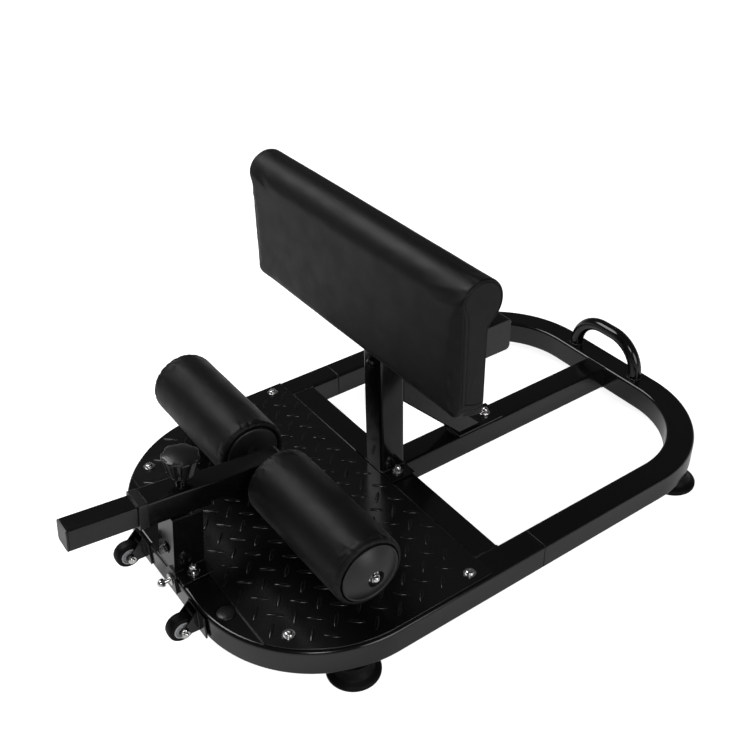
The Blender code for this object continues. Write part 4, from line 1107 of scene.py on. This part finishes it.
# %% Roller caps and spools
ROLLER_SPANS = {1: (0.0320, 0.2865), -1: (0.0495, 0.3060)}
ROLLER_RADIUS, CAP_RADIUS, CAP_ROOM = 0.0590, 0.0484, 0.0020
SHAFT_HOLE, CORE = 0.0068, 0.0125
END_POCKET, CAP_RISE, LIP = 0.006, 0.0160, 0.0014
WELL, WELL_FLOOR = 0.0140, 0.0062
ROLLER_AXIS = slide_place(0, 0.1994, -0.010)


def cap_profile(out):
    """A dome with a lip at its edge and a bolt well at its top, as (radius, distance) points."""
    foot = CAP_RADIUS - 0.0022
    dome = []
    for radius in np.linspace(foot, WELL, 14):
        dome.append((radius, out + 0.0006 + CAP_RISE * (1 - (radius / foot) ** 2)))
    back = out - END_POCKET + GAP
    lip = [
        (CAP_RADIUS, back), (CAP_RADIUS, out + LIP - 0.0003), (CAP_RADIUS - 0.0003, out + LIP),
        (CAP_RADIUS - 0.0013, out + LIP),
    ]
    floor = out + WELL_FLOOR
    well = [(WELL - 0.0006, dome[-1][1] - 0.0012), (WELL - 0.0010, floor)]
    return [(SHAFT_HOLE, floor), (SHAFT_HOLE, back), *lip, *dome, *well]


def spool_profile(start, out):
    """A tube on the shaft with a wide shallow flange that closes the inner end of the roller."""
    face, back = start - 0.0016, start + END_POCKET - GAP
    flange = [
        (CORE, face + 0.0002), (0.020, face - 0.0002), (0.032, face), (0.042, face + 0.0006),
        (0.0455, face + 0.0012), (0.0468, face + 0.0022), (0.0468, back), (CORE, back),
    ]
    end = out - END_POCKET - GAP
    return [(SHAFT_HOLE, 0.0196), (CORE, 0.0196), *flange, (CORE, end), (SHAFT_HOLE, end)]


bolt_seats = []
for side_name, side in (("left", -1), ("right", 1)):
    start, out = ROLLER_SPANS[side]
    body = f"roller_{side_name}"
    mesh = turned_mesh(cap_profile(out), ROLLER_AXIS, X * side, 0.0006, 112)
    link_piece(f"cap_{side_name}", mesh, CAP_PLASTIC, body, "plastic", f"roller_cap_{side_name}")
    mesh = turned_mesh(spool_profile(start, out), ROLLER_AXIS, X * side, 0.0006, 72)
    link_piece(f"spool_{side_name}", mesh, CAP_PLASTIC, body, "plastic", f"roller_spool_{side_name}")
    bolt_seats.append(ROLLER_AXIS + X * side * (out + WELL_FLOOR + 0.0002))

# %% [markdown]
# The bolt in each well is screwed into the end of the shaft, so it stands still while the roller
# turns, and it is a piece of its own on the sliding tube's body.

# %% Bolts in the roller ends
place_forms(
    "roller_nuts", domed_nut(), bolt_seats, [-X, X], ZINC,
    "carriage", "chrome", "roller_bolt_left", "roller_bolt_right",
)

# %% [markdown]
# ## The clamp knob and its screw
# The knob is a loft too. Each level has a radius and a share of flute depth: the flutes widen from
# the hub up to a thin top disc, whose wavy edge the fingers hold. Its screw has a real helical
# thread, made by letting the radius rise and fall with the height and the angle together.

# %% Knob
CLAMP_ALONG, CLAMP_BASE = 0.046, 0.036
KNOB_RADIUS, KNOB_HEIGHT, KNOB_LOBES, KNOB_TURN = 0.030, 0.0435, 7, math.radians(-35)
KNOB_FLUTE = 0.0062


def on_clamp(mesh, height):
    """Moves a mesh that stands on the origin to a height on the clamp's own axis."""
    mesh.transform(SLIDE @ Matrix.Translation((0, CLAMP_ALONG, height)))
    return mesh


def knob_levels():
    """(height, radius, depth of flutes) of each level, as shares of the knob's sizes."""
    shape = [
        (0.00, 0.32, 0.0), (0.03, 0.58, 0.2), (0.07, 0.63, 0.6), (0.15, 0.69, 1.0), (0.42, 0.80, 1.0),
        (0.68, 0.90, 1.0), (0.775, 0.945, 0.95), (0.79, 0.975, 0.60), (0.805, 0.995, 0.46),
        (0.83, 1.0, 0.42), (0.865, 1.0, 0.40), (0.885, 0.985, 0.36), (0.905, 0.94, 0.26),
        (0.93, 0.84, 0.12), (0.955, 0.68, 0.02), (0.98, 0.42, 0.0), (0.998, 0.12, 0.0),
    ]
    heights, radii, flutes = zip(*shape)
    fine = sorted({*heights, *np.linspace(0, 0.998, 46)})
    return zip(fine, np.interp(fine, heights, radii), np.interp(fine, heights, flutes))


def knob_mesh(count=KNOB_LOBES * 24):
    rings = []
    for height, radius, flute in knob_levels():
        ring = []
        for k in range(count):
            angle = math.tau * k / count
            wave = max(0.0, (math.cos(KNOB_LOBES * (angle - KNOB_TURN)) + 0.25) / 1.25)
            hollow = min(1.0, wave * 1.5) ** 0.7
            reach = KNOB_RADIUS * radius - KNOB_FLUTE * flute * hollow
            ring.append((reach * math.cos(angle), reach * math.sin(angle), KNOB_HEIGHT * height))
        rings.append(ring)
    return on_clamp(loft_rings(rings, ROUND_SHARP), CLAMP_BASE)


link_piece("knob", knob_mesh(), KNOB_PLASTIC, "clamp", "plastic", "clamp_knob")

# %% The clamp's threaded screw and its nut
def threaded_rod(low, high, radius=0.004, pitch=0.00125, depth=0.0007, count=24):
    rings = []
    steps = int((high - low) / (pitch / 6))
    for k in range(steps + 1):
        height = low + (high - low) * k / steps
        fade = min(1.0, k / 6, (steps - k) / 6)
        ring = []
        for n in range(count):
            angle = math.tau * n / count
            phase = (height / pitch - n / count) % 1.0
            reach = radius - depth * fade * abs(2 * phase - 1)
            ring.append((reach * math.cos(angle), reach * math.sin(angle), height))
        rings.append(ring)
    return on_clamp(loft_rings(rings, ROUND_SHARP), 0)


link_piece("clamp_stem", threaded_rod(0.0193, CLAMP_BASE + 0.0004), ZINC, "clamp", "chrome", "clamp_screw")
nut_levels = [
    (SHANK, 0, 0), (HEX * 0.9, 0, 0.2), (HEX, 0.0005, 1),
    (HEX, HEX_HEIGHT - 0.0005, 1), (HEX * 0.9, HEX_HEIGHT, 0.2), (SHANK, HEX_HEIGHT, 0),
]
jam_nut = on_clamp(hex_loft(nut_levels), CLAMP_BASE - HEX_HEIGHT - 0.0006)
link_piece("jam_nut", jam_nut, ZINC, "clamp", "chrome")

# %% [markdown]
# ## Padding
# The covers start as clean grids, so that the rows of points lie where the real seams are. The cloth
# simulation then blows them up a little: rows at a seam are held, the rest swells between them, and no
# point may move more than a few millimetres from where the frame wants it.

# %% Blowing up covers with Cloth
CLOTH_FRAMES = 20


def hold_points(piece, held):
    group = piece.vertex_groups.new(name="held")
    group.add([int(k) for k in np.flatnonzero(held > 0)], 1.0, "REPLACE")


def set_up_cloth(piece, pressure, slack, stiffness=12.0):
    cloth = piece.modifiers.new("cloth", "CLOTH")
    settings = cloth.settings
    settings.quality = 5
    settings.mass = 0.3
    settings.tension_stiffness = settings.compression_stiffness = stiffness
    settings.shear_stiffness = stiffness / 2
    settings.bending_stiffness = 2.0
    settings.use_pressure = True
    settings.uniform_pressure_force = pressure
    settings.vertex_group_mass = "held"
    settings.shrink_min = -slack
    settings.effector_weights.gravity = 0
    cloth.collision_settings.use_collision = False
    cloth.point_cache.frame_start = 1
    cloth.point_cache.frame_end = CLOTH_FRAMES


def simulate(pieces, caps):
    """Steps all covers together, then keeps each point's move up to the cap of its piece."""
    scene = bpy.context.scene
    rest = [np.array([v.co for v in piece.data.vertices]) for piece in pieces]
    for frame_number in range(1, CLOTH_FRAMES + 1):
        scene.frame_set(frame_number)
    depsgraph = bpy.context.evaluated_depsgraph_get()
    for piece, start, cap in zip(pieces, rest, caps):
        blown = np.array([v.co for v in piece.evaluated_get(depsgraph).data.vertices])
        move = blown - start
        length = np.linalg.norm(move, axis=1, keepdims=True)
        move *= np.minimum(1.0, cap / np.maximum(length, 1e-9))
        piece.modifiers.clear()
        piece.data.vertices.foreach_set("co", (start + move).ravel())
        piece.data.update()
        print(piece.name, "moved up to", round(float(np.minimum(length, cap).max()) * 1000, 2), "mm")
    scene.frame_set(1)


def grid_skin(rings):
    """Skin over closed rings of points; point k of ring i has the number i * count + k."""
    count = len(rings[0])
    faces = []
    for i in range(len(rings) - 1):
        for k in range(count):
            n = (k + 1) % count
            faces.append((i * count + k, i * count + n, (i + 1) * count + n, (i + 1) * count + k))
    mesh = bpy.data.meshes.new("cover")
    mesh.from_pydata([tuple(point) for ring in rings for point in ring], [], faces)
    return mesh


def smooth_skin(bm, mesh):
    """Writes a cover back to its mesh, faces outward and all of it shaded smooth."""
    bmesh.ops.recalc_face_normals(bm, faces=bm.faces)
    for face in bm.faces:
        face.smooth = True
    bm.to_mesh(mesh)
    bm.free()
    return mesh


def close_ends(mesh, count):
    """Closes both ends of a grid skin with one face each."""
    bm = bmesh.new()
    bm.from_mesh(mesh)
    bm.verts.ensure_lookup_table()
    for first in (0, len(bm.verts) - count):
        loop = [bm.verts[first + k] for k in range(count)]
        bm.faces.new(loop if first == 0 else list(reversed(loop)))
    return smooth_skin(bm, mesh)


# %% [markdown]
# The shin pad is a slab with a thick roll along its top edge, wrapped in one piece of vinyl. It turns
# softly over each end, where a flat panel is sewn in with a strip of vinyl folded under two rows of
# stitches. Seen from the front, its lower corners are round.

# %% The outline of the pad from its end
PAD_HALF, PAD_LOW, PAD_HIGH, PAD_THICK = 0.278, 0.366, 0.589, 0.050
ROLL, PAD_BACK = 0.038, CROSS_Y - GAP
FRONT_ROUND, BACK_ROUND, CORNER_ROUND, END_ROUND = 0.017, 0.005, 0.020, 0.0130


def arc(centre, radius, start, end, steps):
    angles = np.radians(np.linspace(start, end, steps))
    return [(centre[0] + radius * math.cos(a), centre[1] + radius * math.sin(a)) for a in angles]


def line(start, end, steps):
    return [tuple(Vector(start).lerp(Vector(end), (k + 0.5) / steps)) for k in range(steps)]


def pad_outline(inset=0.0):
    """Points of (y, z) round the pad, drawn in by the inset: back, bottom, front, roll and neck."""
    front, low = PAD_BACK - PAD_THICK + inset, PAD_LOW + inset
    back = PAD_BACK - min(inset, 0.003)
    centre = (PAD_BACK - PAD_THICK + ROLL, PAD_HIGH - ROLL)
    round_front = max(FRONT_ROUND - inset, 0.003)
    foot = (back, centre[1] - ROLL - 0.008)
    points = line(foot, (back, low + BACK_ROUND), 24)
    points += arc((back - BACK_ROUND, low + BACK_ROUND), BACK_ROUND, 0, -90, 5)
    points += line((back - BACK_ROUND, low), (front + round_front, low), 6)
    points += arc((front + round_front, low + round_front), round_front, -90, -180, 7)
    points += line((front, low + round_front), (front, centre[1]), 36)
    points += arc(centre, ROLL - inset, 180, -58, 44)
    neck, bend = Vector(points[-1]), Vector((back + 0.0003, centre[1] - ROLL + 0.002))
    for t in np.linspace(0, 1, 10)[1:-1]:
        points.append(tuple(neck * (1 - t) ** 2 + bend * 2 * t * (1 - t) + Vector(foot) * t ** 2))
    return np.array(points)


PAD_POINTS = len(pad_outline())


def drawn_back(depth, radius):
    """How far a quarter round of that radius stands back at a depth from its end."""
    rest = max(0.0, radius - depth)
    return radius - math.sqrt(radius ** 2 - rest ** 2)


# %% The pad's skin as rings along its length
def end_rings():
    """(depth from the end, inset) of the rings of one end: panel, sewn strip, soft turn."""
    panel = [(0.0004, 0.0090), (0.0002, 0.0055), (0.0006, 0.0032), (0.0019, 0.0021), (0.0004, 0.0010)]
    rings = [(depth, END_ROUND + inset) for depth, inset in panel]
    dents = {18: 0.0004, 21: 0.0016, 24: 0.0004}
    for angle in (4, 12, 18, 21, 24, 31, 41, 52, 64, 77):
        a, radius = math.radians(angle), END_ROUND - dents.get(angle, 0)
        rings.append((END_ROUND - radius * math.cos(a), END_ROUND - radius * math.sin(a)))
    return rings


TURN_FADE, LOW_SPAN = 0.031, 0.085
EVEN_DEPTHS = [END_ROUND, 0.0165, 0.0195, 0.0230, 0.0270, *np.linspace(TURN_FADE, PAD_HALF, 62)]
HALF_ROWS = end_rings() + [(depth, 0.0) for depth in EVEN_DEPTHS]
STATIONS = [(PAD_HALF - depth, depth, inset) for depth, inset in HALF_ROWS]
STATIONS += [(-x, depth, inset) for x, depth, inset in reversed(STATIONS[:-1])]
SEAM_ROWS, HELD_ROWS, BOARD_REACH = (3, 8), 11, 0.0015
seam_rows = [*SEAM_ROWS, *(len(STATIONS) - 1 - row for row in SEAM_ROWS)]


def turn_share(outline):
    """The turn over the end is wide on the slab's front, tight on the roll and at the back."""
    front = np.clip((PAD_BACK - 0.014 - outline[:, 0]) / 0.020, 0, 1)
    slab = np.clip((PAD_HIGH - 0.35 * ROLL - outline[:, 1]) / 0.045, 0, 1)
    return 0.28 + 0.72 * front * slab ** 2 * (3 - 2 * slab)


def pad_rings():
    rings, base = [], pad_outline()
    share = turn_share(base)
    for x, depth, inset in STATIONS:
        ring = base + (pad_outline(inset) - base) * share[:, None]
        fade = min(1.0, max(0.0, (TURN_FADE - depth) / (TURN_FADE - END_ROUND)))
        in_panel = inset > END_ROUND
        drawn = np.full(len(ring), depth) if in_panel else depth * (1 + (share - 1) * fade)
        high = PAD_LOW + inset + LOW_SPAN
        low = ring[:, 1] < high
        ring[low, 1] = high - (high - ring[low, 1]) * (1 - drawn_back(depth, CORNER_ROUND) / LOW_SPAN)
        side = math.copysign(1, x)
        rings.append([floor_place(side * (PAD_HALF - d), y, z) for d, (y, z) in zip(drawn, ring)])
    return rings


pad_mesh = close_ends(grid_skin(pad_rings()), PAD_POINTS)
pad = new_object("pad_cover", pad_mesh)
pad_rest = np.array([v.co for v in pad_mesh.vertices]).reshape(len(STATIONS), PAD_POINTS, 3)
pad_held = np.zeros((len(STATIONS), PAD_POINTS))
pad_held[:HELD_ROWS] = pad_held[-HELD_ROWS:] = 1
pad_held[pad_rest[:, :, 1] > FRONT + PAD_BACK - BOARD_REACH] = 1
hold_points(pad, pad_held.ravel())
print("pad skin", len(pad_mesh.polygons), "faces")

# %% [markdown]
# The roller covers are sleeves of vinyl over foam, tucked in at both ends round the caps. A closed
# profile gives the sleeve, the tucked rims and the bore at once. The rims are gathered: many small
# folds of uneven depth, which fade out along the roller.

# %% The rollers' skins
ROLLER_POINTS = 208
CROWN, FOLD_DEPTH, SOFT_WAVE = 0.0008, 0.00095, 0.0006


def roller_profile(low, high):
    """Closed loop of (x, radius) with the share of gathering at each point."""
    pocket, bore, fillet = CAP_RADIUS + CAP_ROOM, CORE + GAP, 0.0072
    rim = ROLLER_RADIUS - 0.0006 - fillet
    end = [
        (END_POCKET, bore, 0), (END_POCKET, pocket, 0), (0.0035, pocket, 0.2), (0.0010, pocket + 0.0006, 0.8),
    ]
    for a in np.radians((6, 20, 36, 54, 72, 90)):
        end.append((fillet * (1 - math.cos(a)), rim + fillet * math.sin(a), 1.0))
    loop = [(low + depth, radius, share) for depth, radius, share in end]
    near = np.linspace(low + fillet + 0.002, low + 0.020, 6)
    far = np.linspace(high - 0.020, high - fillet - 0.002, 6)
    for x in [*near, *np.linspace(low + 0.025, high - 0.025, 46), *far]:
        depth = min(x - low, high - x)
        crown = CROWN * math.sin(math.pi * (x - low) / (high - low)) ** 0.5
        loop.append((x, ROLLER_RADIUS - CROWN + crown, math.exp(-((depth - fillet) / 0.0065))))
    return loop + [(high - depth, radius, share) for depth, radius, share in reversed(end)]


def gathers(seed):
    """Uneven folds round a rim: depth by angle, from a fixed seed."""
    order = random.Random(seed)
    waves = [(order.uniform(14, 42), order.uniform(0, math.tau), order.uniform(0.4, 1.0)) for _ in range(9)]
    whole = [(round(count), shift, size) for count, shift, size in waves]
    return lambda angle: sum(size * math.sin(count * angle + shift) for count, shift, size in whole) / 3.0


def roller_skin(side, seed):
    low, high = ROLLER_SPANS[side]
    loop = roller_profile(low, high)
    folds = {True: gathers(seed), False: gathers(seed + 50)}
    middle = (low + high) / 2
    rings = []
    for k in range(ROLLER_POINTS):
        angle = math.tau * k / ROLLER_POINTS
        ring = []
        for x, radius, share in loop:
            dent = FOLD_DEPTH * share * folds[x > middle](angle + 3.0 * (x - middle))
            reach = radius - abs(dent) * 0.5 + dent * 0.5
            if share < 0.9 and radius > 0.05:
                spot = Vector((x * 22, 2.2 * math.cos(angle), 2.2 * math.sin(angle) + seed))
                reach += SOFT_WAVE * noise.noise(spot)
            ring.append(ROLLER_AXIS + Vector((side * x, reach * math.cos(angle), reach * math.sin(angle))))
        rings.append(ring)
    rings.append(rings[0])
    mesh = grid_skin(rings)
    bm = bmesh.new()
    bm.from_mesh(mesh)
    bmesh.ops.remove_doubles(bm, verts=bm.verts, dist=1e-6)
    return smooth_skin(bm, mesh)


rollers = []
for side_name, side, seed in (("right", 1, 11), ("left", -1, 23)):
    cover = new_object(f"roller_cover_{side_name}", roller_skin(side, seed))
    spots = np.array([v.co for v in cover.data.vertices])
    along = np.abs(spots[:, 0])
    radius = np.hypot(spots[:, 1] - ROLLER_AXIS.y, spots[:, 2] - ROLLER_AXIS.z)
    low, high = ROLLER_SPANS[side]
    held = (radius < CAP_RADIUS + 0.004) | (along < low + 0.0015) | (along > high - 0.0015)
    hold_points(cover, held.astype(float))
    rollers.append(cover)

# %% Swelling all covers in one run
PAD_PRESSURE, ROLLER_PRESSURE = 3.0, 1.5
MOST_MOVE = (0.0013, 0.0010, 0.0010)  # for the pad, the right roller and the left one
set_up_cloth(pad, PAD_PRESSURE, 0.004)
for cover in rollers:
    set_up_cloth(cover, ROLLER_PRESSURE, 0.002)
simulate([pad, *rollers], MOST_MOVE)

# %% [markdown]
# Vinyl puckers where it is sewn and sags into long soft waves between seams. Both are small moves of
# the points along their normals, from smooth noise, strongest beside the seams.

# %% Puckers beside the seams
RIPPLE, SAG, PANEL_EDGE = 0.0005, 0.0004, 0.0010


def pucker(piece, amount_at):
    mesh = piece.data
    normals = [v.normal.copy() for v in mesh.vertices]
    amounts = [amount_at(v.co) for v in mesh.vertices]
    for vertex, normal, amount in zip(mesh.vertices, normals, amounts):
        vertex.co += normal * amount
    mesh.update()
    print(piece.name, "puckers from", round(min(amounts), 5), "to", round(max(amounts), 5), "m")


def pad_amount(place):
    depth = PAD_HALF - abs(place.x)
    behind = place.y - (FRONT + PAD_BACK)
    if depth < PANEL_EDGE or behind > -0.004 and place.z < PAD_HIGH - 2 * ROLL:
        return 0.0
    run = place.z - place.y * 0.8
    beside = math.exp(-abs(depth - 0.010) / 0.011) * min(1.0, (depth - PANEL_EDGE) / 0.003)
    neck = math.exp(-((place.z - (PAD_HIGH - 1.75 * ROLL)) / 0.018) ** 2)
    ripple = noise.noise(Vector((place.x * 24, run * 105, 4.0))) * (RIPPLE + RIPPLE * neck) * beside
    waves = noise.noise(Vector((place.x * 13, place.y * 20, place.z * 22))) * SAG
    return ripple + waves * min(1.0, depth / 0.03)


pucker(pad, pad_amount)

# %% Finishing the pad: one subdivision, then the pocket for its back board
BOARD_ROOM, THREAD_LIFT = 0.0004, 0.0004


def keep_modified(piece):
    """Writes what the modifiers make into the mesh and takes them off."""
    piece.data = evaluated_mesh(piece)
    piece.modifiers.clear()


def subdivide_once(piece):
    subdivision = piece.modifiers.new("smooth", "SUBSURF")
    subdivision.levels = subdivision.render_levels = 1
    keep_modified(piece)


def on_show(place):
    """Whether a place on the pad's end is one where a seam can be seen."""
    return place.y < FRONT + PAD_BACK - 0.002 or place.z > PAD_HIGH - 2 * ROLL


def box_mesh(low, high):
    bm = bmesh.new()
    size, centre = high - low, (high + low) / 2
    bmesh.ops.create_cube(bm, size=1.0, matrix=Matrix.Translation(centre) @ Matrix.Diagonal((*size, 1.0)))
    return mesh_from(bm, False)


seam_paths = []
for row in seam_rows:
    spots = [pad.data.vertices[row * PAD_POINTS + k] for k in range(PAD_POINTS)]
    seam_paths.append([v.co + v.normal * THREAD_LIFT for v in spots if on_show(v.co)])
subdivide_once(pad)
low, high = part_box("pad_board")
room = Vector((1, 1, 1)) * BOARD_ROOM
cutter = new_object("pocket", box_mesh(low - room, high + room + Y * 0.01))
pocket = pad.modifiers.new("pocket", "BOOLEAN")
pocket.operation, pocket.solver, pocket.object = "DIFFERENCE", "EXACT", cutter
keep_modified(pad)
bpy.data.objects.remove(cutter)


def finish_cover(piece, body, replaced):
    piece.vertex_groups.clear()
    piece.data.materials.clear()
    piece.data.materials.append(VINYL)
    piece.data.name = piece.name
    for face in piece.data.polygons:
        face.use_smooth = True
    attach(piece, body)
    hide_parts(replaced)
    print(piece.name, len(piece.data.polygons), "faces")


finish_cover(pad, "base", "pad_cushion")
for cover, side_name in zip(rollers, ("right", "left")):
    subdivide_once(cover)
    finish_cover(cover, f"roller_{side_name}", f"roller_foam_{side_name}")

# %% [markdown]
# ## Stitches
# A stitch is a short piece of thread that dives in at both ends. The tree turns a capsule along the
# seam's path and repeats it at the step of a sewing machine.

# %% A tree for stitches, and the pad's two seams
def stitch_tree():
    tree, inputs, output = new_group(
        "Stitches", "GeometryNodeTree",
        [("Path", GEOMETRY, None), ("Step", FLOAT, 0.0042), ("Length", FLOAT, 0.0030),
         ("Thickness", FLOAT, 0.0007), MATERIAL],
        [("Stitches", GEOMETRY)],
    )
    path = out_of(tree, "GeometryNodeMeshToCurve", {"Mesh": inputs["Path"]})
    walk = {"Curve": path, "Length": inputs["Step"]}
    spots = add_node(tree, "GeometryNodeCurveToPoints", walk, mode="LENGTH")
    ball = out_of(tree, "GeometryNodeMeshUVSphere", {"Segments": 8, "Rings": 6, "Radius": 0.5})
    thick = inputs["Thickness"]
    size = out_of(tree, "ShaderNodeCombineXYZ", {0: thick, 1: thick, 2: inputs["Length"]})
    turn = out_of(tree, "FunctionNodeAlignRotationToVector", {"Vector": spots.outputs["Tangent"]}, axis="Z")
    return scatter(
        tree, inputs, output, True, Points=spots.outputs[0], Instance=ball, Rotation=turn, Scale=size,
    )


sizes = {"Step": 0.0042, "Length": 0.0031, "Thickness": 0.0008}
grow("pad_stitches", paths_mesh(seam_paths, longest=0.02), stitch_tree(), sizes, THREAD, "base", "vinyl")

# %% [markdown]
# ## Floor, light and camera
# The photograph is a plain studio shot on white. The floor glows for the camera, so that it looks
# white, and much less for reflections. A soft key light from the left, one from the right side and a
# farther one from beside the camera draw the highlights, and a grey ceiling keeps the tops dark.

# %% Floor
FLOOR_GLOW_SEEN, FLOOR_GLOW_MIRRORED = 0.87, 0.19


def pale_floor():
    """Diffuse, plus a glow that is stronger for the camera than for reflections."""
    item, tree, shader = plain_shader("pale_floor", (0.90, 0.90, 0.90), 0.9)
    shader.inputs["Specular IOR Level"].default_value = 0.0
    rays = add_node(tree, "ShaderNodeLightPath").outputs
    for_mirrors = math_node(tree, "MAXIMUM", rays["Is Glossy Ray"], rays["Is Transmission Ray"])
    for_camera = math_node(tree, "MULTIPLY", rays["Is Camera Ray"], FLOOR_GLOW_SEEN)
    for_mirrors = math_node(tree, "MULTIPLY", for_mirrors, FLOOR_GLOW_MIRRORED)
    strength = math_node(tree, "ADD", for_camera, for_mirrors)
    glow = add_node(tree, "ShaderNodeEmission", {"Color": (1, 1, 1, 1), "Strength": strength})
    both = add_node(tree, "ShaderNodeAddShader", {0: shader.outputs[0], 1: glow.outputs[0]})
    tree.links.new(both.outputs[0], tree.nodes["Material Output"].inputs["Surface"])
    return item


floor_mesh = bpy.data.meshes.new("studio_floor")
floor_mesh.from_pydata([(-9, -9, 0), (9, -9, 0), (9, 9, 0), (-9, 9, 0)], [], [(0, 1, 2, 3)])
floor_mesh.materials.append(pale_floor())
floor = new_object("studio_floor", floor_mesh)
floor.location.z = -0.0005
print("floor at", round(floor.location.z, 4), "m")

# %% World: pale at the horizon, grey above
HORIZON, CEILING = 0.33, 0.062
world = bpy.data.worlds.new("studio")
bpy.context.scene.world = world
world.use_nodes = True
sky = world.node_tree
sky.nodes.clear()
direction = out_of(sky, "ShaderNodeTexCoord", socket="Generated")
height = out_of(sky, "ShaderNodeSeparateXYZ", {0: direction}, socket="Z")
ramp = {"Value": height, "From Min": 0.0, "From Max": 0.25, "To Min": HORIZON, "To Max": CEILING}
shade = out_of(sky, "ShaderNodeMapRange", ramp)
seen = out_of(sky, "ShaderNodeLightPath", socket="Is Camera Ray")
level = out_of(sky, "ShaderNodeMix", {"Factor": seen, 2: shade, 3: 1.0}, data_type="FLOAT")
background = add_node(sky, "ShaderNodeBackground", {"Color": (1, 1, 1, 1), "Strength": level})
sky.links.new(background.outputs[0], add_node(sky, "ShaderNodeOutputWorld").inputs["Surface"])
print("world from", HORIZON, "at the horizon to", CEILING, "above")

# %% Lamps
def soft_lamp(name, direction, distance, size, power):
    data = bpy.data.lights.new(name, "AREA")
    data.shape = "DISK"
    data.size = size
    data.energy = power
    lamp = new_object(name, data)
    away = Vector(direction).normalized()
    lamp.location = Vector((0, 0, 0.25)) + away * distance
    lamp.rotation_mode = "QUATERNION"
    lamp.rotation_quaternion = (-away).to_track_quat("-Z", "Y")
    print(name, power, "W at", [round(v, 2) for v in lamp.location])


soft_lamp("key_light", (-0.57, -0.29, 0.76), 2.7, 1.6, 37)
soft_lamp("side_light", (1.0, 0.12, 0.35), 3.0, 1.6, 22)
soft_lamp("main_light", (0.62, -0.47, 0.72), 8.0, 1.8, 90)

# %% Camera
CAMERA_PLACE = floor_place(1.1315, -0.3774, 1.2382)
CAMERA_RIGHT, CAMERA_UP = Vector((0.58079, 0.81391, -0.01546)), Vector((-0.45833, 0.34263, 0.82009))
CAMERA_BACK = Vector((0.67277, -0.46921, 0.57203))
camera_data = bpy.data.cameras.new("camera")
camera_data.sensor_width = 36
camera_data.lens = 48.395
camera = new_object("camera", camera_data)
axes = Matrix((CAMERA_RIGHT, CAMERA_UP, CAMERA_BACK)).transposed()
camera.matrix_world = Matrix.Translation(CAMERA_PLACE) @ axes.to_4x4()
bpy.context.scene.camera = camera
print("camera with a lens of", camera_data.lens, "mm")

# %% [markdown]
# ## View
# The render uses the Standard view transform. The dressed model has to stay in the box of the
# imported one.

# %% View
bpy.context.scene.view_settings.view_transform = "Standard"
